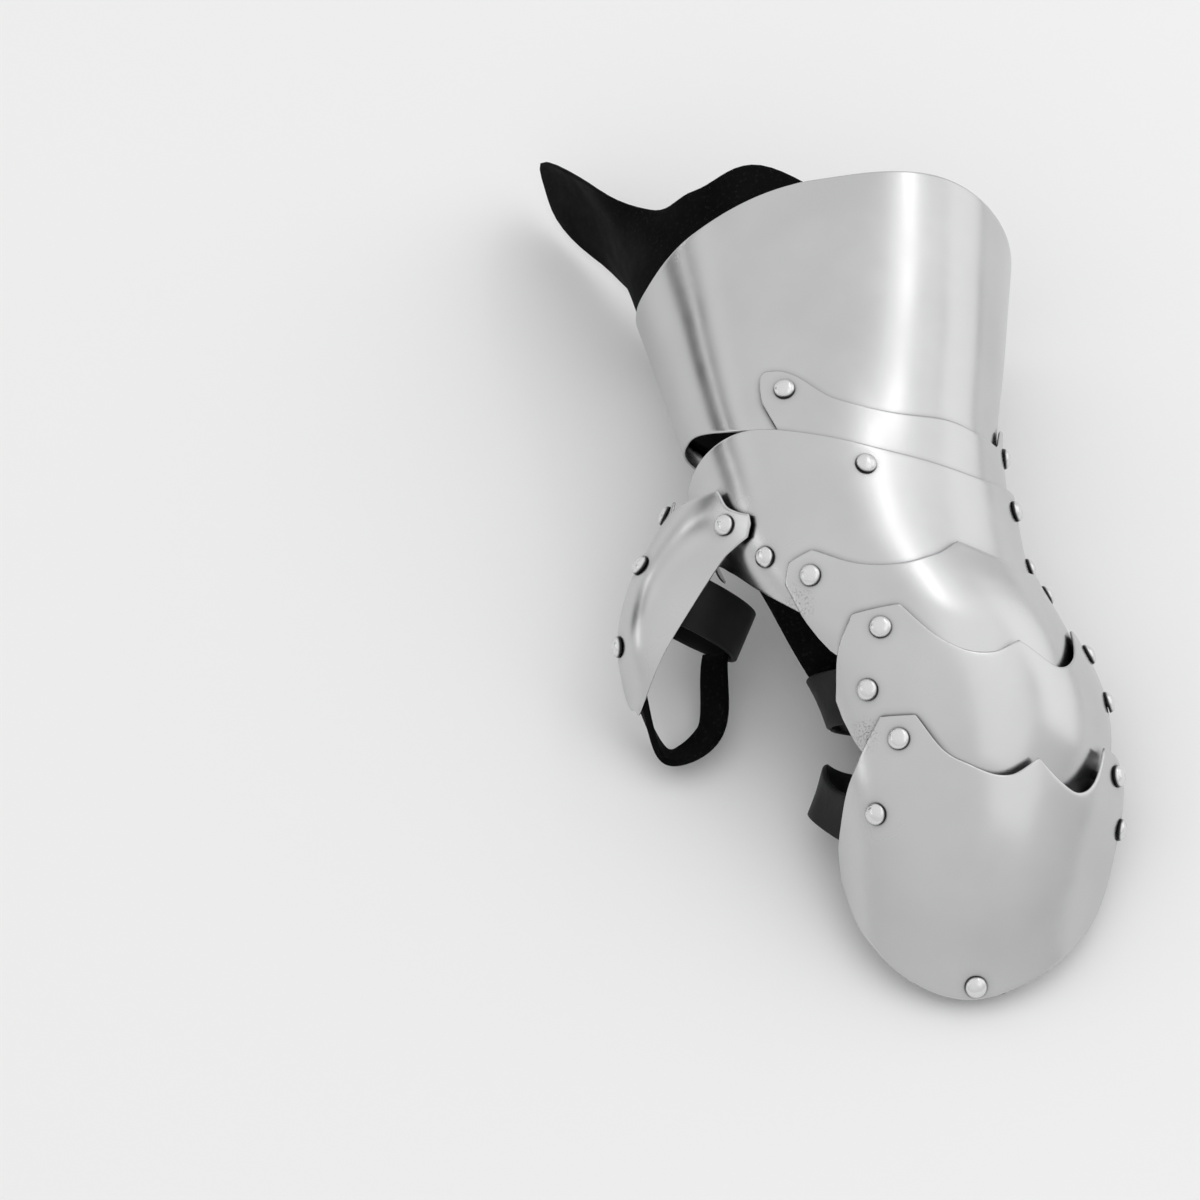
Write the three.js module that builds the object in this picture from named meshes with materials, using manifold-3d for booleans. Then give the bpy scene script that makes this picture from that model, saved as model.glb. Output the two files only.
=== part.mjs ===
// Left-hand mitten gauntlet of riveted steel plates with leather straps, lying palm down.
// Millimetres, +Z up. X runs across the hand (thumb at -X) and the fingers point to -Y.
import * as THREE from 'three';
import { mergeVertices } from 'three/addons/utils/BufferGeometryUtils.js';
import Module from 'manifold-3d';

const wasm = await Module();
wasm.setup();

// Driving dimensions
const STEEL = 1.2;
const LEATHER = 2.2;
const STRAP_LEATHER = 2.6;
const LEATHER_GAP = 0.6;
const HAND_STRAP_SLACK = 3.4;
const TIP_STRAP_SLACK = 2.4;
const THUMB_LEATHER_SLACK = 3.2;
const THUMB_RING_SLACK = 4.2;
const HEAD_GAP = 0.6;
const TAIL_GAP = 1.5;
const RIVET = { headRadius: 4, headHeight: 2.7, shankRadius: 1.8, tailRadius: 2.8, tailHeight: 0.9, sides: 8,
  shoulderRadius: 3.28, shoulderHeight: 1.67 };
const HOLE_RADIUS = 2.6;
const BAND_WIDTH = 20;
const FINGER_STRAP_WIDTH = 25;
const THUMB_STRAP_WIDTH = 13;
const COLUMN_STEP = 12;
const NORMAL_STEP = 0.5;
const THUMB_NORMAL_STEP = 0.005;
const THUMB_LINE_STEP = 0.01;
const STRAP_STEPS_PER_ROW = 3;
const DRILL_LENGTH = 30;
const MERGE_DISTANCE = 1e-4;
const FLOOR_CENTRE = new THREE.Vector3(81.9, 13.8, 0);

// The form that the plates follow: one oval section a row, from the forearm rim to the finger tips.
// station: way along the back, x y z: middle of the oval, half: half width, rise and under: height
// above and depth below the middle, roll: thumb side up, lean: the section's tilt to the fingers,
// square: 1 for an oval, less for flatter faces and tighter bends
const FORM = [
  { station: 0, x: 87, y: 126, z: 42, half: 77, rise: 62, under: 40, roll: -4, lean: 0, square: 0.86 },
  { station: 46, x: 89.5, y: 80, z: 42, half: 68, rise: 52.5, under: 38, roll: 2, lean: 0, square: 0.86 },
  { station: 92, x: 92, y: 34, z: 42, half: 59.5, rise: 43, under: 36, roll: 9, lean: 0, square: 0.86 },
  { station: 118, x: 96, y: 8, z: 40, half: 57.5, rise: 41, under: 34, roll: 16, lean: 0, square: 0.86 },
  { station: 146, x: 102, y: -18, z: 38, half: 56, rise: 39, under: 32, roll: 17, lean: 5, square: 0.87 },
  { station: 176, x: 115, y: -43, z: 35, half: 54, rise: 38.5, under: 30, roll: 15, lean: 14, square: 0.92 },
  { station: 206, x: 128, y: -66, z: 29, half: 51, rise: 39.5, under: 27, roll: 13, lean: 25, square: 0.97 },
  { station: 240, x: 134, y: -95, z: 20, half: 49.6, rise: 38.5, under: 20, roll: 11, lean: 36, square: 1 },
  { station: 272, x: 133.5, y: -119, z: 9, half: 46, rise: 34, under: 12, roll: 7, lean: 46, square: 1 },
  { station: 318, x: 130, y: -162, z: -5, half: 36, rise: 13.4, under: 5, roll: 0, lean: 50, square: 1 },
];

// Steel plates. Edges run by angle round the oval (0 little-finger side, 90 back, 180 thumb side);
// a corner row breaks the curve. lifts: height of the outer face above the form, by station.
const PLATES = {
  cuff: {
    lengthSteps: 6,
    upper: [
      { angle: -50, station: 8 }, { angle: -20, station: 1 }, { angle: 20, station: -1 },
      { angle: 55, station: -4 }, { angle: 90, station: 2 }, { angle: 130, station: 15 },
      { angle: 160, station: 21 }, { angle: 190, station: 14 }, { angle: 232, station: 18 },
    ],
    lower: [
      { angle: -50, station: 94 }, { angle: 0, station: 102 }, { angle: 90, station: 108 },
      { angle: 125, station: 109 }, { angle: 145, station: 104 }, { angle: 180, station: 90 },
      { angle: 232, station: 82 },
    ],
    lifts: [{ station: 0, lift: 0 }, { station: 110, lift: 0 }],
  },
  wrist_lame: {
    lengthSteps: 4,
    upper: [
      { angle: 2, station: 91 }, { angle: 9, station: 83 }, { angle: 19, station: 84 },
      { angle: 28, station: 94 }, { angle: 41, station: 97 }, { angle: 62, station: 97.5 },
      { angle: 94, station: 98.5 }, { angle: 103, station: 95 }, { angle: 111, station: 86.5 },
      { angle: 118, station: 83.5 }, { angle: 125, station: 87 }, { angle: 128, station: 96 },
    ],
    lower: [
      { angle: 2, station: 112 }, { angle: 20, station: 126 }, { angle: 60, station: 131 },
      { angle: 101, station: 133 }, { angle: 120, station: 128 }, { angle: 128, station: 117 },
    ],
    lifts: [{ station: 80, lift: 2.2 }, { station: 134, lift: 2.2 }],
  },
  hand_plate: {
    lengthSteps: 6,
    upper: [
      { angle: 2, station: 107 }, { angle: 27, station: 112 }, { angle: 54, station: 118.5 },
      { angle: 88, station: 118.5 }, { angle: 117, station: 113.5 }, { angle: 140, station: 108 },
      { angle: 165, station: 108 }, { angle: 214, station: 114 },
    ],
    lower: [
      { angle: 2, station: 158 }, { angle: 40, station: 172 }, { angle: 90, station: 178 },
      { angle: 130, station: 181 }, { angle: 152, station: 178, corner: true },
      { angle: 171, station: 162.5 }, { angle: 184, station: 148 }, { angle: 214, station: 142 },
    ],
    lifts: [{ station: 106, lift: 4.8 }, { station: 140, lift: 3.7 }, { station: 182, lift: 1 }],
  },
  knuckle_lame: {
    lengthSteps: 5,
    upper: [
      { angle: 10, station: 160 }, { angle: 16, station: 151 }, { angle: 28, station: 149, corner: true },
      { angle: 45, station: 155 }, { angle: 67, station: 154 }, { angle: 79.5, station: 151.5, corner: true },
      { angle: 90, station: 159 }, { angle: 106, station: 164 }, { angle: 120, station: 163 },
      { angle: 133, station: 157, corner: true }, { angle: 145, station: 159.5, corner: true },
      { angle: 151.5, station: 166 },
    ],
    lower: [
      { angle: 10, station: 182 }, { angle: 25, station: 201 }, { angle: 60, station: 209 },
      { angle: 100, station: 210 }, { angle: 135, station: 203 }, { angle: 145, station: 195 },
      { angle: 149.5, station: 187 }, { angle: 151.5, station: 176 },
    ],
    lifts: [
      { station: 148, lift: 5 }, { station: 168, lift: 5 }, { station: 184, lift: 4.4 },
      { station: 198, lift: 1.6 }, { station: 211, lift: -2.5 },
    ],
  },
  middle_lame: {
    lengthSteps: 6,
    upper: [
      { angle: 11, station: 196 }, { angle: 17, station: 184 }, { angle: 34, station: 180, corner: true },
      { angle: 48, station: 195 }, { angle: 60, station: 199.5 }, { angle: 74.5, station: 191, corner: true },
      { angle: 88, station: 196 }, { angle: 98, station: 194.5 }, { angle: 106, station: 188 },
      { angle: 111, station: 179, corner: true }, { angle: 130, station: 181, corner: true },
      { angle: 146, station: 195.5 }, { angle: 155, station: 209 },
    ],
    lower: [
      { angle: 11, station: 206 }, { angle: 20, station: 228 }, { angle: 38, station: 246 },
      { angle: 65, station: 247 }, { angle: 100, station: 245 }, { angle: 130, station: 238 },
      { angle: 148, station: 229 }, { angle: 153, station: 221 }, { angle: 155, station: 214 },
    ],
    lifts: [
      { station: 178, lift: 6.8 }, { station: 192, lift: 6.8 }, { station: 208, lift: 6.2 },
      { station: 224, lift: 4 }, { station: 246, lift: -2.5 },
    ],
  },
  tip_plate: {
    lengthSteps: 7,
    upper: [
      { angle: 12, station: 264 }, { angle: 20, station: 244 }, { angle: 31, station: 231 },
      { angle: 43, station: 227, corner: true }, { angle: 51, station: 238 }, { angle: 60, station: 241.5 },
      { angle: 70, station: 237 }, { angle: 78.5, station: 230, corner: true }, { angle: 90, station: 235 },
      { angle: 104, station: 232 }, { angle: 116, station: 225 }, { angle: 122, station: 216, corner: true },
      { angle: 136, station: 216, corner: true }, { angle: 149, station: 230 }, { angle: 160, station: 246 },
      { angle: 167, station: 266 },
    ],
    lower: [
      { angle: 12, station: 272 }, { angle: 20, station: 288 }, { angle: 34, station: 300 },
      { angle: 60, station: 312 }, { angle: 90, station: 318.5 }, { angle: 120, station: 313 },
      { angle: 145, station: 301 }, { angle: 159, station: 289.5 }, { angle: 167, station: 275 },
    ],
    lifts: [
      { station: 214, lift: 6.8 }, { station: 236, lift: 6.8 }, { station: 262, lift: 6 },
      { station: 292, lift: 5 }, { station: 320, lift: 4 },
    ],
  },
};

// Rivets on the form: the pieces that each one goes through, outermost first
const RIVETS = [
  { name: 'wrist_rivet_thumb_side', angle: 117, station: 92, through: ['wrist_lame', 'cuff'] },
  { name: 'wrist_rivet_outer_side', angle: 15, station: 93, through: ['wrist_lame', 'cuff'] },
  { name: 'hand_hinge_rivet_thumb_side', angle: 101, station: 125, through: ['hand_plate', 'wrist_lame'] },
  { name: 'hand_hinge_rivet_outer_side', angle: 32, station: 121, through: ['hand_plate', 'wrist_lame'] },
  { name: 'strap_rivet_hand', angle: 155.5, station: 154.5, through: ['hand_plate', 'finger_strap'],
    slack: HAND_STRAP_SLACK },
  { name: 'edge_rivet_hand', angle: 24, station: 143, through: ['hand_plate'] },
  { name: 'knuckle_rivet_thumb_side', angle: 138.5, station: 165.5, through: ['knuckle_lame', 'hand_plate'] },
  { name: 'knuckle_rivet_outer_side', angle: 22, station: 157, through: ['knuckle_lame', 'hand_plate'] },
  { name: 'middle_rivet_thumb_side', angle: 122, station: 186.5, through: ['middle_lame', 'knuckle_lame'] },
  { name: 'middle_rivet_outer_side', angle: 24, station: 189, through: ['middle_lame', 'knuckle_lame'] },
  { name: 'middle_band_rivet_thumb_side', angle: 138, station: 206.5,
    through: ['middle_lame', 'finger_band_middle'] },
  { name: 'middle_band_rivet_outer_side', angle: 22, station: 209,
    through: ['middle_lame', 'finger_band_middle'] },
  { name: 'tip_rivet_thumb_side', angle: 130, station: 223.5, through: ['tip_plate', 'middle_lame'] },
  { name: 'tip_rivet_outer_side', angle: 34, station: 237, through: ['tip_plate', 'middle_lame'] },
  { name: 'tip_band_rivet_thumb_side', angle: 142.5, station: 248, through: ['tip_plate', 'finger_band_tip'] },
  { name: 'tip_band_rivet_outer_side', angle: 22, station: 258, through: ['tip_plate', 'finger_band_tip'] },
  { name: 'tip_rivet_end', angle: 89, station: 312.5, through: ['tip_plate', 'finger_strap'],
    slack: TIP_STRAP_SLACK },
];

const steelLook = { color: 0xc9cacc, metalness: 1, roughness: 0.28 };
const suedeLook = { color: 0x0b0b0c, metalness: 0, roughness: 0.95 };
const strapLook = { color: 0x1b1b1d, metalness: 0, roughness: 0.55 };
const rivetLook = { color: 0xb9babc, metalness: 1, roughness: 0.32 };

const radians = THREE.MathUtils.degToRad;

// A value of a table at a place along it, on a smooth curve through the rows, straight past the ends
function valueAt(rows, along, key, place) {
  const last = rows.length - 1;
  const slope = (i) => (rows[i + 1][key] - rows[i][key]) / (rows[i + 1][along] - rows[i][along]);
  const tangent = (i, segment) => {
    if (i === 0 || i === last || rows[i].corner) return slope(segment);
    const before = rows[i][along] - rows[i - 1][along];
    const after = rows[i + 1][along] - rows[i][along];
    return (slope(i - 1) * after + slope(i) * before) / (before + after);
  };
  let segment = 0;
  while (segment < last - 1 && place > rows[segment + 1][along]) segment += 1;
  const from = rows[segment];
  const to = rows[segment + 1];
  const span = to[along] - from[along];
  const t = (place - from[along]) / span;
  const startTangent = tangent(segment, segment);
  const endTangent = tangent(segment + 1, segment);
  if (t < 0) return from[key] + startTangent * span * t;
  if (t > 1) return to[key] + endTangent * span * (t - 1);
  return from[key] * (2 * t ** 3 - 3 * t ** 2 + 1) + startTangent * span * (t ** 3 - 2 * t ** 2 + t)
    + to[key] * (3 * t ** 2 - 2 * t ** 3) + endTangent * span * (t ** 3 - t ** 2);
}

const formAt = (key, station) => valueAt(FORM, 'station', key, station);

// A point of the form itself
function bareFormPoint(angle, station) {
  const cosine = Math.cos(radians(angle));
  const sine = Math.sin(radians(angle));
  const square = formAt('square', station);
  const rounded = (v) => Math.sign(v) * Math.abs(v) ** square;
  const across = formAt('half', station) * rounded(cosine);
  const up = formAt(sine >= 0 ? 'rise' : 'under', station) * rounded(sine);
  const roll = radians(formAt('roll', station));
  const lean = radians(formAt('lean', station));
  const height = up * Math.cos(roll) - across * Math.sin(roll);
  return new THREE.Vector3(
    formAt('x', station) + across * Math.cos(roll) + up * Math.sin(roll),
    formAt('y', station) - height * Math.sin(lean),
    formAt('z', station) + height * Math.cos(lean),
  );
}

function formNormal(angle, station) {
  const round = bareFormPoint(angle + NORMAL_STEP, station).sub(bareFormPoint(angle - NORMAL_STEP, station));
  const along = bareFormPoint(angle, station + NORMAL_STEP).sub(bareFormPoint(angle, station - NORMAL_STEP));
  return round.cross(along).normalize();
}

const formPoint = (angle, station, lift) =>
  bareFormPoint(angle, station).addScaledVector(formNormal(angle, station), lift);

// A closed solid between two grids of points of the same size
function shellBetween(outer, inner) {
  const rows = outer.length;
  const columns = outer[0].length;
  const points = [...outer.flat(), ...inner.flat()];
  const index = [];
  const at = (side, row, column) => side * rows * columns + row * columns + column;
  const quad = (a, b, c, d) => index.push(a, b, c, a, c, d);
  for (let r = 0; r < rows - 1; r += 1) {
    for (let c = 0; c < columns - 1; c += 1) {
      quad(at(0, r, c), at(0, r, c + 1), at(0, r + 1, c + 1), at(0, r + 1, c));
      quad(at(1, r, c), at(1, r + 1, c), at(1, r + 1, c + 1), at(1, r, c + 1));
    }
  }
  for (let c = 0; c < columns - 1; c += 1) {
    quad(at(0, 0, c), at(1, 0, c), at(1, 0, c + 1), at(0, 0, c + 1));
    quad(at(0, rows - 1, c), at(0, rows - 1, c + 1), at(1, rows - 1, c + 1), at(1, rows - 1, c));
  }
  for (let r = 0; r < rows - 1; r += 1) {
    quad(at(0, r, 0), at(0, r + 1, 0), at(1, r + 1, 0), at(1, r, 0));
    quad(at(0, r, columns - 1), at(1, r, columns - 1), at(1, r + 1, columns - 1), at(0, r + 1, columns - 1));
  }
  return outwardGeometry(points, index);
}

// A geometry whose faces point out, whichever way round its grid was
function outwardGeometry(points, index) {
  let volume = 0;
  for (let i = 0; i < index.length; i += 3) {
    const [a, b, c] = [points[index[i]], points[index[i + 1]], points[index[i + 2]]];
    volume += a.dot(b.clone().cross(c));
  }
  const faces = volume > 0 ? index : index.slice().reverse();
  const geometry = new THREE.BufferGeometry();
  geometry.setAttribute('position', new THREE.Float32BufferAttribute(points.flatMap((p) => p.toArray()), 3));
  geometry.setIndex(faces);
  return geometry;
}

// The angles of a plate's columns: every row of both edges, with even steps between them
function columnAngles(plate) {
  const marks = [...new Set([...plate.upper, ...plate.lower].map((row) => row.angle))].sort((a, b) => a - b);
  const angles = [marks[0]];
  for (let i = 1; i < marks.length; i += 1) {
    const steps = Math.ceil((marks[i] - marks[i - 1]) / COLUMN_STEP);
    for (let k = 1; k <= steps; k += 1) angles.push(THREE.MathUtils.lerp(marks[i - 1], marks[i], k / steps));
  }
  return angles;
}

const plateLift = (plate, station) => valueAt(plate.lifts, 'station', 'lift', station);

function plateGeometry(plate) {
  const angles = columnAngles(plate);
  const gridAt = (depth) => Array.from({ length: plate.lengthSteps + 1 }, (_, r) => angles.map((angle) => {
    const upper = valueAt(plate.upper, 'angle', 'station', angle);
    const lower = valueAt(plate.lower, 'angle', 'station', angle);
    const station = THREE.MathUtils.lerp(upper, lower, r / plate.lengthSteps);
    return formPoint(angle, station, plateLift(plate, station) - depth);
  }));
  return shellBetween(gridAt(0), gridAt(STEEL));
}

// Thumb plate: a domed channel round its own line, with a flat inner ear that touches the hand plate's bend.
// u: way along the thumb, x y z: middle of the channel, radius of the channel
const THUMB_LINE = [
  { u: 0, x: 49, y: 8, z: 47, radius: 25.5 },
  { u: 0.3, x: 37.5, y: -15, z: 41, radius: 23.5 },
  { u: 0.65, x: 25, y: -42, z: 29, radius: 19.5 },
  { u: 1, x: 17.5, y: -63, z: 16, radius: 8 },
];
const THUMB_RIDGE = new THREE.Vector3(-0.76, -0.12, 0.64);
// The ear's plane touches the hand plate at handAngle and handStation; round and along are millimetres
// a degree and a unit of u, standOff is how far the ear stands off the bend at its rivet
const EAR = {
  angle: -79, u: 0.13, handAngle: 154, handStation: 138, round: 0.4, along: 92, gap: 1.3, standOff: 1.4,
};
const EAR_FADE = { fromAngle: -64, toAngle: 46, fullness: 1.1, fromU: 0.12, toU: 0.72 };
const FLAT_START = { depth: 5.5, fromAngle: -70, toAngle: 100, fromU: 0.1, toU: 0.5 };
const THUMB_EDGES = {
  lengthSteps: 7,
  upper: [
    { angle: -88, u: 0.175 }, { angle: -84, u: 0.14, corner: true }, { angle: -68, u: 0.135 },
    { angle: -56, u: 0.12 }, { angle: -41, u: 0.06, corner: true }, { angle: -8, u: 0.1 },
    { angle: 14, u: 0.125, corner: true }, { angle: 30, u: 0.14 }, { angle: 44, u: 0.07, corner: true },
    { angle: 60, u: 0.08, corner: true }, { angle: 74, u: 0.17 },
  ],
  lower: [
    { angle: -88, u: 0.225, corner: true }, { angle: -76, u: 0.275 }, { angle: -66, u: 0.34 },
    { angle: -58, u: 0.47 }, { angle: -51, u: 0.69 }, { angle: -40, u: 0.92 }, { angle: -10, u: 1 },
    { angle: 30, u: 0.92 }, { angle: 54, u: 0.7 }, { angle: 66, u: 0.46 }, { angle: 74, u: 0.27 },
  ],
};
const THUMB_RIVETS = [
  { name: 'thumb_ear_rivet_inner', angle: -60, u: 0.197, through: ['thumb_plate', 'hand_plate'] },
  { name: 'thumb_ear_rivet_outer', angle: 53, u: 0.13, through: ['thumb_plate'] },
  { name: 'thumb_ring_rivet', angle: 22, u: 0.4, through: ['thumb_plate', 'thumb_ring'],
    slack: THUMB_RING_SLACK },
  { name: 'thumb_strap_rivet', angle: 22, u: 0.72, through: ['thumb_plate', 'thumb_strap'],
    slack: THUMB_LEATHER_SLACK },
];

const thumbAt = (key, u) => valueAt(THUMB_LINE, 'u', key, u);
const thumbCentre = (u) => new THREE.Vector3(thumbAt('x', u), thumbAt('y', u), thumbAt('z', u));

// The thumb channel's own directions at a place: along it, out at its ridge, and across
function thumbFrame(u) {
  const along = thumbCentre(u + THUMB_LINE_STEP).sub(thumbCentre(u - THUMB_LINE_STEP)).normalize();
  const ridge = THUMB_RIDGE.clone().addScaledVector(along, -THUMB_RIDGE.dot(along)).normalize();
  return { along, ridge, across: along.clone().cross(ridge) };
}

function thumbDirection(angle, u) {
  const { ridge, across } = thumbFrame(u);
  return ridge.multiplyScalar(Math.cos(radians(angle))).addScaledVector(across, Math.sin(radians(angle)));
}

// A point of the flat inner ear
function earPoint(angle, u, inset) {
  const outward = formNormal(EAR.handAngle, EAR.handStation);
  const lift = plateLift(PLATES.hand_plate, EAR.handStation) + EAR.gap + STEEL - inset;
  const { along } = thumbFrame(EAR.u);
  along.addScaledVector(outward, -along.dot(outward)).normalize();
  return formPoint(EAR.handAngle, EAR.handStation, lift)
    .addScaledVector(along, (u - EAR.u) * EAR.along)
    .addScaledVector(along.clone().cross(outward), (angle - EAR.angle) * EAR.round);
}

// A point of the domed channel, flatter where it starts
function channelPoint(angle, u, inset) {
  const { smoothstep, clamp } = THREE.MathUtils;
  const middle = clamp((angle - FLAT_START.fromAngle) / (FLAT_START.toAngle - FLAT_START.fromAngle), 0, 1);
  const start = 1 - smoothstep(u, FLAT_START.fromU, FLAT_START.toU);
  const flat = FLAT_START.depth * Math.sin(Math.PI * middle) ** 2 * start;
  return thumbCentre(u).addScaledVector(thumbDirection(angle, u), thumbAt('radius', u) - flat - inset);
}

// A point of the bend from the ear to the channel, a curve that leaves one and meets the other smoothly
function bendPoint(angle, u, inset) {
  const { fromAngle, toAngle, fullness } = EAR_FADE;
  const start = earPoint(fromAngle, u, inset);
  const end = channelPoint(toAngle, u, inset);
  const chord = start.distanceTo(end) * fullness;
  const startSlope = earPoint(toAngle, u, inset).sub(start).setLength(chord);
  const endSlope = channelPoint(toAngle + NORMAL_STEP, u, inset)
    .sub(channelPoint(toAngle - NORMAL_STEP, u, inset)).setLength(chord);
  const t = (angle - fromAngle) / (toAngle - fromAngle);
  return start.multiplyScalar(2 * t ** 3 - 3 * t ** 2 + 1)
    .addScaledVector(startSlope, t ** 3 - 2 * t ** 2 + t)
    .addScaledVector(end, 3 * t ** 2 - 2 * t ** 3)
    .addScaledVector(endSlope, t ** 3 - t ** 2);
}

// A point of the thumb plate: the flat ear, the bend and the channel, all channel towards the tip
function thumbPoint(angle, u, inset) {
  const channel = channelPoint(angle, u, inset);
  if (angle > EAR_FADE.toAngle) return channel;
  const section = angle < EAR_FADE.fromAngle ? earPoint(angle, u, inset) : bendPoint(angle, u, inset);
  return section.lerp(channel, THREE.MathUtils.smoothstep(u, EAR_FADE.fromU, EAR_FADE.toU));
}

function thumbNormal(angle, u) {
  const round = thumbPoint(angle + NORMAL_STEP, u, 0).sub(thumbPoint(angle - NORMAL_STEP, u, 0));
  const along = thumbPoint(angle, u + THUMB_NORMAL_STEP, 0).sub(thumbPoint(angle, u - THUMB_NORMAL_STEP, 0));
  return round.cross(along).normalize();
}

function thumbGeometry() {
  const angles = columnAngles(THUMB_EDGES);
  const gridAt = (inset) => Array.from({ length: THUMB_EDGES.lengthSteps + 1 }, (_, r) => angles.map((angle) => {
    const upper = valueAt(THUMB_EDGES.upper, 'angle', 'u', angle);
    const lower = valueAt(THUMB_EDGES.lower, 'angle', 'u', angle);
    return thumbPoint(angle, THREE.MathUtils.lerp(upper, lower, r / THUMB_EDGES.lengthSteps), inset);
  }));
  return shellBetween(gridAt(0), gridAt(STEEL));
}

// Leather lining of the forearm: a trough inside the cuff, closing its open underside and standing
// out past the rim. rim: station of its free edge, flare: how far that edge bends outward there
const LINING_INSET = STEEL + LEATHER_GAP;
const LINING_LENGTH_STEPS = 6;
const LINING_WRIST_STATION = 72;
const LINING_RIM = [
  { angle: 90, station: 5, flare: 0 }, { angle: 99, station: -6.5, flare: 0 },
  { angle: 124, station: -4, flare: 0 }, { angle: 145, station: -9, flare: 0 },
  { angle: 154, station: -22, flare: 4 }, { angle: 163, station: -50, flare: 11 },
  { angle: 173, station: -81, flare: 18 }, { angle: 187, station: -70, flare: 19 },
  { angle: 206, station: -26, flare: 6 }, { angle: 232, station: 4, flare: 0 },
  { angle: 270, station: 0, flare: 0 }, { angle: 330, station: 4, flare: 0 },
  { angle: 345, station: 12, flare: 0 },
];
const LINING_SAG = [
  { angle: 90, sag: 0 }, { angle: 236, sag: 0, corner: true }, { angle: 252, sag: 7 },
  { angle: 288, sag: 7 }, { angle: 304, sag: 0, corner: true }, { angle: 345, sag: 0 },
];

function liningGeometry() {
  const angles = columnAngles({ upper: LINING_RIM, lower: LINING_SAG });
  const gridAt = (depth) => Array.from({ length: LINING_LENGTH_STEPS + 1 }, (_, r) => angles.map((angle) => {
    const t = r / LINING_LENGTH_STEPS;
    const rim = valueAt(LINING_RIM, 'angle', 'station', angle);
    const station = THREE.MathUtils.lerp(rim, LINING_WRIST_STATION, t);
    const past = Math.max(0, -station) / Math.max(1, -rim);
    const flare = valueAt(LINING_RIM, 'angle', 'flare', angle) * past ** 2;
    const point = formPoint(angle, station, flare - LINING_INSET - depth);
    point.z -= valueAt(LINING_SAG, 'angle', 'sag', angle);
    point.z = Math.max(point.z, depth);
    return point;
  }));
  return shellBetween(gridAt(0), gridAt(LEATHER));
}

// Finger bands: leather U-loops hung inside a plate, round the palm side of the fingers.
// palm: how each is let down there, slipped along, and twisted by its width
const BAND_ENDS = { outerSide: 12, thumbSide: 12 };
const BAND_STEP = 11;
const PALM = { thumbSideFrom: 158, thumbSideTo: 200, outerSideFrom: 325, outerSideTo: 365 };
const BANDS = {
  finger_band_middle: {
    plate: 'middle_lame', from: 138, to: 382, station: 207.5,
    palm: [
      { angle: 150, lift: -2, slip: 1, twist: 0 }, { angle: 190, lift: -2, slip: 2, twist: 0 },
      { angle: 225, lift: 4, slip: 0, twist: 0 }, { angle: 325, lift: 4, slip: 0, twist: 0 },
    ],
  },
  finger_band_tip: {
    plate: 'tip_plate', from: 142.5, to: 382, station: 252,
    palm: [
      { angle: 150, lift: 8, slip: -3, twist: 0 }, { angle: 190, lift: 9, slip: -11, twist: 0.5 },
      { angle: 225, lift: 12, slip: -9, twist: 0.3 }, { angle: 325, lift: 12, slip: 0, twist: 0 },
    ],
  },
};

// How much of a place on a band is free of its plate
function bandFreedom(angle) {
  const started = THREE.MathUtils.smoothstep(angle, PALM.thumbSideFrom, PALM.thumbSideTo);
  const ended = THREE.MathUtils.smoothstep(angle, PALM.outerSideFrom, PALM.outerSideTo);
  return started * (1 - ended);
}

// A point of a band: close inside its plate, and let down and slipped along on the palm side
function bandPoint(band, angle, across, depth) {
  const free = bandFreedom(angle);
  const station = band.station + across + valueAt(band.palm, 'angle', 'slip', angle) * free;
  const inside = plateLift(PLATES[band.plate], station) - STEEL - LEATHER_GAP;
  const twist = valueAt(band.palm, 'angle', 'twist', angle) * across;
  const letDown = valueAt(band.palm, 'angle', 'lift', angle) + twist;
  const lift = THREE.MathUtils.lerp(inside, letDown, free);
  const point = formPoint(angle, station, lift - depth);
  point.z = Math.max(point.z, depth);
  return point;
}

function bandGeometry(band) {
  const start = band.from - BAND_ENDS.thumbSide;
  const end = band.to + BAND_ENDS.outerSide;
  const steps = Math.round((end - start) / BAND_STEP);
  const angles = Array.from({ length: steps + 1 }, (_, i) => THREE.MathUtils.lerp(start, end, i / steps));
  const gridAt = (depth) => [-0.5, 0.5].map((side) => angles.map((angle) =>
    bandPoint(band, angle, side * BAND_WIDTH, depth)));
  return shellBetween(gridAt(0), gridAt(LEATHER));
}

// A flat strap along a row of places, each with the way its face looks
function strapGeometry(rows, width, thickness) {
  const places = rows.map((row) => new THREE.Vector3(row.x, row.y, row.z));
  const faces = rows.map((row) => new THREE.Vector3(row.faceX, row.faceY, row.faceZ));
  const path = new THREE.CatmullRomCurve3(places);
  const faceCurve = new THREE.CatmullRomCurve3(faces);
  const steps = (rows.length - 1) * STRAP_STEPS_PER_ROW;
  const sections = Array.from({ length: steps + 1 }, (_, i) => {
    const t = i / steps;
    const centre = path.getPoint(t);
    const along = path.getTangent(t);
    const across = along.clone().cross(faceCurve.getPoint(t)).normalize();
    const face = across.clone().cross(along).normalize();
    return { centre, across, face };
  });
  const gridAt = (depth) => [-0.5, 0.5].map((side) => sections.map(({ centre, across, face }) =>
    centre.clone().addScaledVector(across, side * width).addScaledVector(face, thickness / 2 - depth)));
  return shellBetween(gridAt(0), gridAt(thickness));
}

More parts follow.
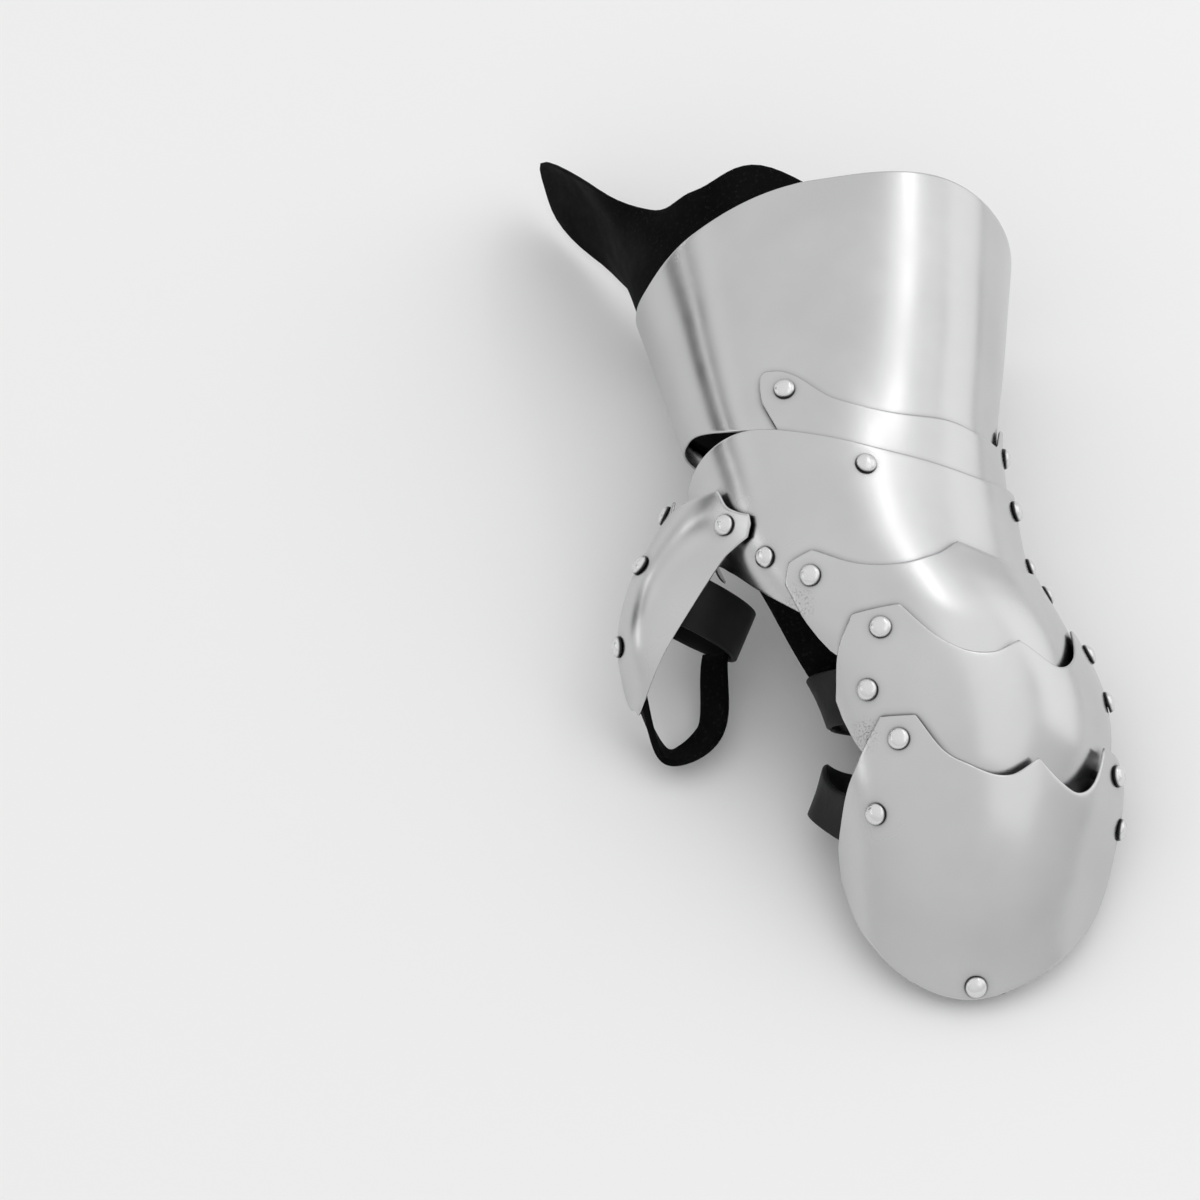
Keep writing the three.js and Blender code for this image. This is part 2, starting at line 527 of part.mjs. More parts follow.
// Finger strap: from the hand plate's thumb-side rivet, through both bands, to the finger tip
const STRAP_DEPTH = STEEL + LEATHER_GAP + STRAP_LEATHER / 2;
function strapUnderPlate(plate, angle, station, slack) {
  const place = formPoint(angle, station, plateLift(PLATES[plate], station) - STRAP_DEPTH - slack);
  const face = formNormal(angle, station);
  return { x: place.x, y: place.y, z: place.z, faceX: face.x, faceY: face.y, faceZ: face.z };
}
const FINGER_STRAP = [
  strapUnderPlate('hand_plate', 157, 147, HAND_STRAP_SLACK),
  strapUnderPlate('hand_plate', 157, 160, HAND_STRAP_SLACK),
  { x: 84, y: -52, z: 40, faceX: -0.5, faceY: -0.5, faceZ: 0.6 },
  { x: 105, y: -68, z: 20, faceX: 0, faceY: -0.5, faceZ: 0.8 },
  { x: 112, y: -92, z: 10, faceX: 0, faceY: -0.2, faceZ: 1 },
  { x: 122, y: -128, z: 7, faceX: 0, faceY: 0, faceZ: 1 },
  strapUnderPlate('tip_plate', 89, 302, TIP_STRAP_SLACK),
  strapUnderPlate('tip_plate', 89, 316, TIP_STRAP_SLACK),
];

// Thumb ring: a closed leather band inside the thumb channel, long way towards the palm
const THUMB_RING = { u: 0.46, ridgeRadius: 23.5, acrossRadius: 15.5, shift: -6.3, width: 20, sides: 22 };

function ringGeometry() {
  const { along, ridge, across } = thumbFrame(THUMB_RING.u);
  const centre = thumbCentre(THUMB_RING.u).addScaledVector(ridge, THUMB_RING.shift);
  const loop = (inset, side) => Array.from({ length: THUMB_RING.sides }, (_, i) => {
    const turn = (2 * Math.PI * i) / THUMB_RING.sides;
    return centre.clone().addScaledVector(along, side * THUMB_RING.width)
      .addScaledVector(ridge, (THUMB_RING.ridgeRadius - inset) * Math.cos(turn))
      .addScaledVector(across, (THUMB_RING.acrossRadius - inset) * Math.sin(turn));
  });
  const loops = [loop(0, -0.5), loop(0, 0.5), loop(LEATHER, 0.5), loop(LEATHER, -0.5)];
  const index = [];
  for (let l = 0; l < loops.length; l += 1) {
    for (let i = 0; i < THUMB_RING.sides; i += 1) {
      const next = (i + 1) % THUMB_RING.sides;
      const here = l * THUMB_RING.sides;
      const there = ((l + 1) % loops.length) * THUMB_RING.sides;
      index.push(here + i, here + next, there + next, here + i, there + next, there + i);
    }
  }
  return outwardGeometry(loops.flat(), index);
}

// Thumb strap: a loop from inside the ring, down to the surface and up inside the thumb's tip
const THUMB_STRAP_ANGLE = 22;
function strapUnderThumb(u) {
  const place = thumbPoint(THUMB_STRAP_ANGLE, u, STRAP_DEPTH + THUMB_LEATHER_SLACK);
  const face = thumbNormal(THUMB_STRAP_ANGLE, u);
  return { x: place.x, y: place.y, z: place.z, faceX: face.x, faceY: face.y, faceZ: face.z };
}
function strapInRing(forward) {
  const { along, ridge } = thumbFrame(THUMB_RING.u);
  const depth = LEATHER + LEATHER_GAP + STRAP_LEATHER / 2 + THUMB_LEATHER_SLACK;
  const place = thumbCentre(THUMB_RING.u).addScaledVector(along, forward)
    .addScaledVector(ridge, THUMB_RING.shift - THUMB_RING.ridgeRadius + depth);
  return { x: place.x, y: place.y, z: place.z, faceX: -ridge.x, faceY: -ridge.y, faceZ: -ridge.z };
}
const THUMB_STRAP = [
  strapInRing(-6),
  strapInRing(10),
  { x: 41, y: -66, z: 10, faceX: 0.6, faceY: 0, faceZ: -0.75 },
  { x: 31, y: -75, z: 7.5, faceX: 0.3, faceY: -0.45, faceZ: -0.8 },
  { x: 24, y: -75, z: 7, faceX: -0.3, faceY: -0.6, faceZ: -0.7 },
  strapUnderThumb(0.8),
  strapUnderThumb(0.64),
];

// Rivets: a domed head, a shank through the holes and a flat tail inside
function rivetGeometry(grip) {
  const { headRadius, headHeight, shoulderRadius, shoulderHeight } = RIVET;
  const { shankRadius, tailRadius, tailHeight, sides } = RIVET;
  const seat = HEAD_GAP;
  const foot = -grip - TAIL_GAP;
  const profile = [
    [0, foot - tailHeight], [tailRadius, foot - tailHeight], [tailRadius, foot], [shankRadius, foot],
    [shankRadius, seat], [headRadius, seat], [shoulderRadius, seat + shoulderHeight], [0, seat + headHeight],
  ].map(([radius, height]) => new THREE.Vector2(radius, height));
  return new THREE.LatheGeometry(profile, sides);
}

// Turn a shape made round the Y axis so that Y points along a direction, at a place
function seated(geometry, place, direction) {
  const turn = new THREE.Quaternion().setFromUnitVectors(new THREE.Vector3(0, 1, 0), direction);
  return geometry.applyQuaternion(turn).translate(place.x, place.y, place.z);
}

function solidOf(geometry) {
  const bare = geometry.clone();
  for (const name of Object.keys(bare.attributes)) {
    if (name !== 'position') bare.deleteAttribute(name);
  }
  const merged = mergeVertices(bare, MERGE_DISTANCE);
  return new wasm.Manifold(new wasm.Mesh({
    numProp: 3,
    vertProperties: new Float32Array(merged.attributes.position.array),
    triVerts: new Uint32Array(merged.index.array),
  }));
}

function geometryOf(solid) {
  const mesh = solid.getMesh();
  const geometry = new THREE.BufferGeometry();
  geometry.setAttribute('position', new THREE.BufferAttribute(mesh.vertProperties, 3));
  geometry.setIndex(new THREE.BufferAttribute(mesh.triVerts, 1));
  return geometry;
}

// The same solid with a round hole at each of some rivets
function drilled(geometry, rivets) {
  let solid = solidOf(geometry);
  for (const { place, direction } of rivets) {
    const drill = new THREE.CylinderGeometry(HOLE_RADIUS, HOLE_RADIUS, DRILL_LENGTH, RIVET.sides);
    solid = solid.subtract(solidOf(seated(drill, place, direction)));
  }
  return geometryOf(solid);
}

const gauntlet = new THREE.Group();
gauntlet.position.copy(FLOOR_CENTRE).negate();

function addPiece(name, geometry, look) {
  const mesh = new THREE.Mesh(geometry, new THREE.MeshStandardMaterial(look));
  mesh.name = name;
  gauntlet.add(mesh);
}

// Where each rivet sits, which way it looks and how much it grips
const INNER_THICKNESS = {
  finger_strap: STRAP_LEATHER, finger_band_middle: LEATHER, finger_band_tip: LEATHER,
  thumb_ring: LEATHER, thumb_strap: STRAP_LEATHER,
};
function seatOnForm({ name, angle, station, through, slack = 0 }) {
  const outerLift = plateLift(PLATES[through[0]], station);
  const innermost = through[through.length - 1];
  const grip = PLATES[innermost]
    ? outerLift - plateLift(PLATES[innermost], station) + STEEL
    : STEEL + LEATHER_GAP + INNER_THICKNESS[innermost] + slack;
  const place = formPoint(angle, station, outerLift);
  return { name, through, grip, place, direction: formNormal(angle, station) };
}
const formRivets = RIVETS.map(seatOnForm);
function seatOnThumb({ name, angle, u, through, slack = 0 }) {
  const innermost = through[through.length - 1];
  let grip = STEEL;
  if (PLATES[innermost]) grip += EAR.gap + EAR.standOff + STEEL;
  if (INNER_THICKNESS[innermost]) grip += LEATHER_GAP + INNER_THICKNESS[innermost] + slack;
  return { name, through, grip, place: thumbPoint(angle, u, 0), direction: thumbNormal(angle, u) };
}
const thumbRivets = THUMB_RIVETS.map(seatOnThumb);
const allRivets = [...formRivets, ...thumbRivets];
const rivetsThrough = (name) => allRivets.filter(({ through }) => through.includes(name));

for (const [name, plate] of Object.entries(PLATES)) {
  addPiece(name, drilled(plateGeometry(plate), rivetsThrough(name)), steelLook);
}
addPiece('thumb_plate', drilled(thumbGeometry(), rivetsThrough('thumb_plate')), steelLook);
addPiece('forearm_lining', liningGeometry(), suedeLook);
const fingerStrap = strapGeometry(FINGER_STRAP, FINGER_STRAP_WIDTH, STRAP_LEATHER);
addPiece('finger_strap', drilled(fingerStrap, rivetsThrough('finger_strap')), suedeLook);
for (const [name, band] of Object.entries(BANDS)) {
  addPiece(name, drilled(bandGeometry(band), rivetsThrough(name)), strapLook);
}
addPiece('thumb_ring', drilled(ringGeometry(), rivetsThrough('thumb_ring')), strapLook);
const thumbStrap = strapGeometry(THUMB_STRAP, THUMB_STRAP_WIDTH, STRAP_LEATHER);
addPiece('thumb_strap', drilled(thumbStrap, rivetsThrough('thumb_strap')), suedeLook);
for (const { name, grip, place, direction } of allRivets) {
  addPiece(name, seated(rivetGeometry(grip), place, direction), rivetLook);
}

export default gauntlet;
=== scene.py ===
"""Left-hand mitten gauntlet: steel plates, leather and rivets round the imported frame."""
import math

import bpy
import numpy as np
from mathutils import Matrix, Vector, noise


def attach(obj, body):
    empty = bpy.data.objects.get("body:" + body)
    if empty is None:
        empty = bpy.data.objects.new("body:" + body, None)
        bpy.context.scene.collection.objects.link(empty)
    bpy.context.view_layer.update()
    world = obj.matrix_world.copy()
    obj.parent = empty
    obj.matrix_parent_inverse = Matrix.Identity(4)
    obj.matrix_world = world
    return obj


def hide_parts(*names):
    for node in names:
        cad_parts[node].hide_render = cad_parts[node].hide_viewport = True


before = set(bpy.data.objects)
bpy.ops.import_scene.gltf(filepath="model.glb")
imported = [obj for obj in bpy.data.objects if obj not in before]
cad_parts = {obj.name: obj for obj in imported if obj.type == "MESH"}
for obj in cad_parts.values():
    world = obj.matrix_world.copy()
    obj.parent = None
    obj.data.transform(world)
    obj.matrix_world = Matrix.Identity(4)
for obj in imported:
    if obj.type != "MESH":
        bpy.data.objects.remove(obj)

bl_info = {
    "name": "Steel mitten gauntlet",
    "version": (1, 0, 0),
    "blender": (4, 5, 0),
    "location": "3D View > Sidebar > Gauntlet",
    "description": "Makes the plates, leather and rivets of a steel mitten gauntlet",
    "category": "Object",
}

# Lengths in the tables below are millimetres, in the frame before it is centred on the floor
MILLIMETRE = 0.001
FLOOR_CENTRE = np.array([81.9, 13.8, 0.0])
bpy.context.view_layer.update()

# Fit between the pieces
LEATHER_GAP = 0.6
HAND_STRAP_SLACK = 3.4
TIP_STRAP_SLACK = 2.4
THUMB_LEATHER_SLACK = 3.2
THUMB_RING_SLACK = 4.2
NORMAL_STEP = 0.5
THUMB_NORMAL_STEP = 0.005
THUMB_LINE_STEP = 0.01

# How finely the shapes are cut
COLUMN_STEP = 1.6
PLATE_ROW_LENGTH = 1.8
LEATHER_COLUMN_STEP = 2.5
LINING_ROWS = 54
BAND_STEP = 2.0
STRAP_STEPS_PER_ROW = 14
RING_SECTIONS = 120
PROFILE_RUN = 8
PROFILE_ARC = 4
HEAD_SEGMENTS = 32
HEAD_RINGS = 24
SHANK_SIDES = 24

# Edges: width of the outermost row, how far it is rounded as a share of the thickness, and its wear
EDGE_WIDTH = 0.4
EDGE_ANGLE = 0.4
THUMB_EDGE_U = 0.004
LINING_EDGE_WIDTH = 0.8
EDGE_PARTS_IN_LENGTH = 8
PLATE_ROUNDING = 0.3
LINING_ROUNDING = 0.35
STRAP_ROUNDING = 0.42
SECOND_ROW_WEAR = 0.15
CORNER = 1

# Unevenness of beaten plate, loose leather and hammered rivet heads
STEEL_WAVE_SPACING = 24.0
FOLDS = {"spacing": 26.0, "seed": 3.5, "height": 1.6, "from": 0.1, "to": 0.6}
HEAD_FULLNESS = 0.85
HAMMER_MARK_SCALE = 420.0
HAMMER_SEED = 7

FORM_COLUMNS = ("station", "x", "y", "z", "half", "rise", "under", "roll", "lean", "square")
EDGE_COLUMNS = ("angle", "station", "corner")
LIFT_COLUMNS = ("station", "lift")
THUMB_COLUMNS = ("u", "x", "y", "z", "radius")
THUMB_EDGE_COLUMNS = ("angle", "u", "corner")
RIM_COLUMNS = ("angle", "station", "flare")
SAG_COLUMNS = ("angle", "sag", "corner")
PALM_COLUMNS = ("angle", "lift", "slip", "twist")


def table(columns, *rows):
    """Rows of numbers as named columns, with zeros where a row is short."""
    filled = [tuple(row) + (0,) * (len(columns) - len(row)) for row in rows]
    return {name: np.array(values, float) for name, values in zip(columns, zip(*filled))}


# The form that the plates follow, one oval section a row from the forearm rim to the finger tips
FORM = table(
    FORM_COLUMNS,
    (0, 87, 126, 42, 77, 62, 40, -4, 0, 0.86),
    (46, 89.5, 80, 42, 68, 52.5, 38, 2, 0, 0.86),
    (92, 92, 34, 42, 59.5, 43, 36, 9, 0, 0.86),
    (118, 96, 8, 40, 57.5, 41, 34, 16, 0, 0.86),
    (146, 102, -18, 38, 56, 39, 32, 17, 5, 0.87),
    (176, 115, -43, 35, 54, 38.5, 30, 15, 14, 0.92),
    (206, 128, -66, 29, 51, 39.5, 27, 13, 25, 0.97),
    (240, 134, -95, 20, 49.6, 38.5, 20, 11, 36, 1),
    (272, 133.5, -119, 9, 46, 34, 12, 7, 46, 1),
    (318, 130, -162, -5, 36, 13.4, 5, 0, 50, 1),
)

# Plates on the form: the two edges round the hand, the lift of the face and the body that carries it
PLATES = {
    "cuff": {
        "body": "cuff",
        "upper": table(
            EDGE_COLUMNS, (-50, 8), (-20, 1), (20, -1), (55, -4), (90, 2), (130, 15), (160, 21), (190, 14),
            (232, 18)),
        "lower": table(
            EDGE_COLUMNS, (-50, 94), (0, 102), (90, 108), (125, 109), (145, 104), (180, 90), (232, 82)),
        "lifts": table(LIFT_COLUMNS, (0, 0), (110, 0)),
    },
    "wrist_lame": {
        "body": "wrist",
        "upper": table(
            EDGE_COLUMNS, (2, 91), (9, 83), (19, 84), (28, 94), (41, 97), (62, 97.5), (94, 98.5), (103, 95),
            (111, 86.5), (118, 83.5), (125, 87), (128, 96)),
        "lower": table(EDGE_COLUMNS, (2, 112), (20, 126), (60, 131), (101, 133), (120, 128), (128, 117)),
        "lifts": table(LIFT_COLUMNS, (80, 2.2), (134, 2.2)),
    },
    "hand_plate": {
        "body": "hand",
        "upper": table(
            EDGE_COLUMNS, (2, 107), (27, 112), (54, 118.5), (88, 118.5), (117, 113.5), (140, 108), (165, 108),
            (214, 114)),
        "lower": table(
            EDGE_COLUMNS, (2, 158), (40, 172), (90, 178), (130, 181), (152, 178, CORNER), (171, 162.5),
            (184, 148), (214, 142)),
        "lifts": table(LIFT_COLUMNS, (106, 4.8), (140, 3.7), (182, 1)),
    },
    "knuckle_lame": {
        "body": "hand",
        "upper": table(
            EDGE_COLUMNS, (10, 160), (16, 151), (28, 149, CORNER), (45, 155), (67, 154),
            (79.5, 151.5, CORNER), (90, 159), (106, 164), (120, 163), (133, 157, CORNER),
            (145, 159.5, CORNER), (151.5, 166)),
        "lower": table(
            EDGE_COLUMNS, (10, 182), (25, 201), (60, 209), (100, 210), (135, 203), (145, 195), (149.5, 187),
            (151.5, 176)),
        "lifts": table(LIFT_COLUMNS, (148, 5), (168, 5), (184, 4.4), (198, 1.6), (211, -2.5)),
    },
    "middle_lame": {
        "body": "hand",
        "upper": table(
            EDGE_COLUMNS, (11, 196), (17, 184), (34, 180, CORNER), (48, 195), (60, 199.5),
            (74.5, 191, CORNER), (88, 196), (98, 194.5), (106, 188), (111, 179, CORNER), (130, 181, CORNER),
            (146, 195.5), (155, 209)),
        "lower": table(
            EDGE_COLUMNS, (11, 206), (20, 228), (38, 246), (65, 247), (100, 245), (130, 238), (148, 229),
            (153, 221), (155, 214)),
        "lifts": table(LIFT_COLUMNS, (178, 6.8), (192, 6.8), (208, 6.2), (224, 4), (246, -2.5)),
    },
    "tip_plate": {
        "body": "hand",
        "upper": table(
            EDGE_COLUMNS, (12, 264), (20, 244), (31, 231), (43, 227, CORNER), (51, 238), (60, 241.5),
            (70, 237), (78.5, 230, CORNER), (90, 235), (104, 232), (116, 225), (122, 216, CORNER),
            (136, 216, CORNER), (149, 230), (160, 246), (167, 266)),
        "lower": table(
            EDGE_COLUMNS, (12, 272), (20, 288), (34, 300), (60, 312), (90, 318.5), (120, 313), (145, 301),
            (159, 289.5), (167, 275)),
        "lifts": table(LIFT_COLUMNS, (214, 6.8), (236, 6.8), (262, 6), (292, 5), (320, 4)),
    },
}

# Thumb plate: a domed channel round its own line, with an inner ear that lies on the hand plate
THUMB_LINE = table(
    THUMB_COLUMNS, (0, 49, 8, 47, 25.5), (0.3, 37.5, -15, 41, 23.5), (0.65, 25, -42, 29, 19.5),
    (1, 17.5, -63, 16, 8))
THUMB_RIDGE = np.array([-0.76, -0.12, 0.64])
THUMB_LENGTH = 88.0
EAR = {
    "angle": -79, "u": 0.13, "hand_angle": 154, "hand_station": 138, "round": 0.4, "along": 92, "gap": 1.3,
    "stand_off": 1.4,
}
FLAT_START = {"depth": 5.5, "from_angle": -70, "to_angle": 100, "from_u": 0.1, "to_u": 0.5}
EAR_FADE = {"fullness": 1.1, "from_angle": -64, "to_angle": 46, "from_u": 0.12, "to_u": 0.72}
THUMB_UPPER = table(
    THUMB_EDGE_COLUMNS, (-88, 0.175), (-84, 0.14, CORNER), (-68, 0.135), (-56, 0.12), (-41, 0.06, CORNER),
    (-8, 0.1), (14, 0.125, CORNER), (30, 0.14), (44, 0.07, CORNER), (60, 0.08, CORNER), (74, 0.17))
THUMB_LOWER = table(
    THUMB_EDGE_COLUMNS, (-88, 0.225, CORNER), (-76, 0.275), (-66, 0.34), (-58, 0.47), (-51, 0.69),
    (-40, 0.92), (-10, 1), (30, 0.92), (54, 0.7), (66, 0.46), (74, 0.27))

# Lining: station of its free edge round the forearm, how far that edge bends out, and its sag to the floor
LINING_WRIST_STATION = 72.0
LINING_RIM = table(
    RIM_COLUMNS, (90, 5), (99, -6.5), (124, -4), (145, -9), (154, -22, 4), (163, -50, 11), (173, -81, 18),
    (187, -70, 19), (206, -26, 6), (232, 4), (270, 0), (330, 4), (345, 12))
LINING_SAG = table(
    SAG_COLUMNS, (90, 0), (236, 0, CORNER), (252, 7), (288, 7), (304, 0, CORNER), (345, 0))

# Leather bands round the palm side of the fingers: where each hangs, and its lift, slip and twist there
BANDS = {
    "finger_band_middle": {
        "plate": "middle_lame", "start": 126, "end": 394, "station": 207.5,
        "palm": table(PALM_COLUMNS, (150, -2, 1), (190, -2, 2), (225, 4, 0), (325, 4, 0)),
    },
    "finger_band_tip": {
        "plate": "tip_plate", "start": 130.5, "end": 394, "station": 252,
        "palm": table(
            PALM_COLUMNS, (150, 8, -3), (190, 9, -11, 0.5), (225, 12, -9, 0.3), (325, 12, 0)),
    },
}
BAND_WIDTH = 20.0
PALM = {"thumb_from": 158, "thumb_to": 200, "outer_from": 325, "outer_to": 365}
THUMB_RING = {"u": 0.46, "ridge_radius": 23.5, "across_radius": 15.5, "shift": -6.3, "width": 20}

# Straps: where their ends lie, and between them rows of a place and the direction that the face looks in
FINGER_STRAP_WIDTH = 25.0
FINGER_STRAP_START = {"plate": "hand_plate", "angle": 157, "stations": (147, 160), "slack": HAND_STRAP_SLACK}
FINGER_STRAP_RUN = (
    ((84, -52, 40), (-0.5, -0.5, 0.6)), ((105, -68, 20), (0, -0.5, 0.8)), ((112, -92, 10), (0, -0.2, 1)),
    ((122, -128, 7), (0, 0, 1)))
FINGER_STRAP_END = {"plate": "tip_plate", "angle": 89, "stations": (302, 316), "slack": TIP_STRAP_SLACK}
THUMB_STRAP_WIDTH = 13.0
THUMB_STRAP_IN_RING = (-6, 10)
THUMB_STRAP_LOOP = (
    ((41, -66, 10), (0.6, 0, -0.75)), ((31, -75, 7.5), (0.3, -0.45, -0.8)),
    ((24, -75, 7), (-0.3, -0.6, -0.7)))
THUMB_STRAP_ANGLE = 22.0
THUMB_STRAP_UNDER_PLATE = (0.8, 0.64)
STRAP_END_CORNER = 4.0

# Rivets on the form and on the thumb plate: place, outer piece, what holds the tail, and slack
FORM_RIVETS = (
    ("wrist_rivet_thumb_side", 117, 92, "wrist_lame", "cuff", 0),
    ("wrist_rivet_outer_side", 15, 93, "wrist_lame", "cuff", 0),
    ("hand_hinge_rivet_thumb_side", 101, 125, "hand_plate", "wrist_lame", 0),
    ("hand_hinge_rivet_outer_side", 32, 121, "hand_plate", "wrist_lame", 0),
    ("strap_rivet_hand", 155.5, 154.5, "hand_plate", "strap", HAND_STRAP_SLACK),
    ("edge_rivet_hand", 24, 143, "hand_plate", "hand_plate", 0),
    ("knuckle_rivet_thumb_side", 138.5, 165.5, "knuckle_lame", "hand_plate", 0),
    ("knuckle_rivet_outer_side", 22, 157, "knuckle_lame", "hand_plate", 0),
    ("middle_rivet_thumb_side", 122, 186.5, "middle_lame", "knuckle_lame", 0),
    ("middle_rivet_outer_side", 24, 189, "middle_lame", "knuckle_lame", 0),
    ("middle_band_rivet_thumb_side", 138, 206.5, "middle_lame", "band", 0),
    ("middle_band_rivet_outer_side", 22, 209, "middle_lame", "band", 0),
    ("tip_rivet_thumb_side", 130, 223.5, "tip_plate", "middle_lame", 0),
    ("tip_rivet_outer_side", 34, 237, "tip_plate", "middle_lame", 0),
    ("tip_band_rivet_thumb_side", 142.5, 248, "tip_plate", "band", 0),
    ("tip_band_rivet_outer_side", 22, 258, "tip_plate", "band", 0),
    ("tip_rivet_end", 89, 312.5, "tip_plate", "strap", TIP_STRAP_SLACK),
)
THUMB_RIVETS = (
    ("thumb_ear_rivet_inner", -60, 0.197, "hand_plate", 0),
    ("thumb_ear_rivet_outer", 53, 0.13, "thumb_plate", 0),
    ("thumb_ring_rivet", 22, 0.4, "band", THUMB_RING_SLACK),
    ("thumb_strap_rivet", 22, 0.72, "strap", THUMB_LEATHER_SLACK),
)
WRIST_RIVETS = ("wrist_rivet_thumb_side", "wrist_rivet_outer_side")

# The camera at the photograph's viewing angle, aimed at the zero point of the tables
CAMERA = {"distance": 1.11, "elevation": 55.0, "focal_pixels": 2870.0, "sensor": 36.0, "frame_pixels": 1200.0}

# Places of tarnish on the steel: plate, angle, station and reach
TARNISH = (("hand_plate", 150.0, 173.0, 9.0), ("middle_lame", 145.0, 222.0, 8.0))
TARNISH_COLOUR = (0.16, 0.155, 0.15, 1.0)
TARNISH_SPECKS = {"scale": 1400.0, "from": 0.52, "to": 0.62}

# Finishes: texture scales, shades of the colour, bumps as strength and metres, ramps by their two ends
# Near-black colour of the painted shade under plate edges and low on each rivet head
PAINTED_SHADE_COLOUR = (0.03, 0.03, 0.03, 1.0)
# Steel: the last three settings paint shade into the colour where other surfaces come close
STEEL_FINISH = {
    "haze": 26.0, "cloud": (0.35, 0.7), "cloud_shade": 0.93, "edge_shade": 1.12,
    "roughness": (0.3, 0.75, 0.21, 0.29), "line_stretch": (2600.0, 60.0, 1.0), "line_bump": (0.08, 0.00005),
    "scratch_stretch": (700.0, 14.0, 1.0), "scratch_bump": (0.03, 0.0001),
    "painted_shade_reach": 0.0035, "painted_shade_samples": 8, "painted_shade_fade": (0.45, 0.92),
}
# Rivets: the last setting gives the heights up the head over which the painted shade at its foot fades out
RIVET_FINISH = {
    "haze": 300.0, "roughness": (0.3, 0.75, 0.2, 0.34), "bump": (0.12, 0.0002), "painted_shade_end": (0.25, 0.5)}
SUEDE_FINISH = {
    "nap": 1800.0, "nap_bump": (0.5, 0.0003), "cloud": 45.0, "cloud_bump": (0.3, 0.002), "worn": (0.4, 0.8),
    "worn_shade": 2.2, "fibres": 700.0, "loose": (0.56, 0.72), "loose_shade": 9.0,
    "roughness": (0.3, 0.8, 0.95, 0.7),
}
BAND_FINISH = {
    "grain": 1100.0, "grain_bump": (0.22, 0.00015), "cloud": 60.0, "cloud_bump": (0.2, 0.001),
    "rubbed": (0.35, 0.75), "rubbed_shade": 1.9, "roughness": (0.3, 0.75, 0.62, 0.42),
}
FLOOR_ROUGHNESS = 0.9

# Soft lights of the studio: place and aim in metres, width and height, power
LIGHTS = {
    "long_softbox": {"place": (0.72, 0.95, 1.25), "aim": (0.05, 0.95, 0), "size": (1.1, 0.12), "power": 0.9},
    "wide_softbox": {"place": (0.85, -0.2, 1.2), "aim": (0.05, -0.2, 0), "size": (2.2, 0.8), "power": 1.6},
    "right_softbox": {"place": (1.6, 0.5, 0.62), "aim": (0, 0, 0.06), "size": (1.4, 0.9), "power": 1.9},
    "low_left_strip": {"place": (-1.6, 0.3, 0.5), "aim": (0, 0, 0.08), "size": (1.6, 0.1), "power": 1.0},
}
# The studio's walls and ceiling: brightness by the height of the direction, from level to straight up
STUDIO_GLOW = ((0.0, 0.68), (0.12, 0.72), (0.30, 0.78), (0.55, 0.85), (1.0, 0.90))
# The dark corner of the studio behind the thumb side: brightness by height, and where it begins and ends
CORNER_GLOW = ((0.0, 0.01), (0.36, 0.02), (0.44, 1.0), (0.54, 1.0), (0.66, 0.86))
CORNER_SIDE = {"begin": -0.45, "full": -0.62}
CORNER_BACK = {"begin": 0.17, "full": 0.28, "ebb": 0.42, "end": 0.54}
FLOOR_HALF = 4.0


class GauntletSizes(bpy.types.PropertyGroup):
    """Thicknesses and rivet sizes"""
    steel: bpy.props.FloatProperty(
        name="Steel", description="Thickness of every plate", default=0.0012, unit="LENGTH")
    leather: bpy.props.FloatProperty(
        name="Leather", description="Thickness of the lining, bands and ring", default=0.0022, unit="LENGTH")
    strap: bpy.props.FloatProperty(
        name="Strap", description="Thickness of the two straps", default=0.0026, unit="LENGTH")
    head_radius: bpy.props.FloatProperty(
        name="Rivet head radius", description="Radius of a rivet's domed head", default=0.004, unit="LENGTH")
    head_height: bpy.props.FloatProperty(
        name="Rivet head height", description="Height of a rivet's domed head", default=0.0028, unit="LENGTH")
    shank_radius: bpy.props.FloatProperty(
        name="Rivet shank radius", description="Radius of a rivet's shank", default=0.0018, unit="LENGTH")
    tail_radius: bpy.props.FloatProperty(
        name="Rivet tail radius", description="Radius of the hammered tail inside", default=0.0028,
        unit="LENGTH")
    tail_height: bpy.props.FloatProperty(
        name="Rivet tail height", description="Height of the hammered tail inside", default=0.0009,
        unit="LENGTH")


class GauntletFinish(bpy.types.PropertyGroup):
    """Colours and surface marks"""
    steel: bpy.props.FloatVectorProperty(
        name="Steel", description="Satin polished plate steel", default=(0.60, 0.60, 0.605), subtype="COLOR")
    rivet: bpy.props.FloatVectorProperty(
        name="Rivets", description="Brighter steel of the rivets", default=(0.74, 0.74, 0.745),
        subtype="COLOR")
    suede: bpy.props.FloatVectorProperty(
        name="Suede", description="Black suede of the lining and straps", default=(0.0022, 0.0022, 0.0024),
        subtype="COLOR")
    band: bpy.props.FloatVectorProperty(
        name="Bands", description="Smooth dark leather of the bands and ring",
        default=(0.0065, 0.0065, 0.007), subtype="COLOR")
    floor: bpy.props.FloatVectorProperty(
        name="Floor", description="Pale studio floor", default=(0.92, 0.92, 0.92), subtype="COLOR")
    wave: bpy.props.FloatProperty(
        name="Plate waves", description="Height of the slight unevenness of beaten plate", default=0.00005,
        unit="LENGTH")
    hammering: bpy.props.FloatProperty(
        name="Rivet hammering", description="Depth of the hammer marks on rivet heads", default=0.0003,
        unit="LENGTH")


def unit(vectors):
    return vectors / np.linalg.norm(vectors, axis=-1, keepdims=True)


def smoothstep(value, low, high):
    t = np.clip((value - low) / (high - low), 0, 1)
    return t * t * (3 - 2 * t)


def in_millimetres(length):
    return length / MILLIMETRE


def single(*values):
    """Numbers as arrays of one, which the functions of the form take."""
    return [np.array(float(value)) for value in values]


def cubic(t, start, end, start_slope, end_slope):
    """A smooth curve from a start to an end, with a slope at each, as t goes from 0 to 1."""
    first = start * (2 * t**3 - 3 * t**2 + 1) + start_slope * (t**3 - 2 * t**2 + t)
    return first + (end * (3 * t**2 - 2 * t**3) + end_slope * (t**3 - t**2))


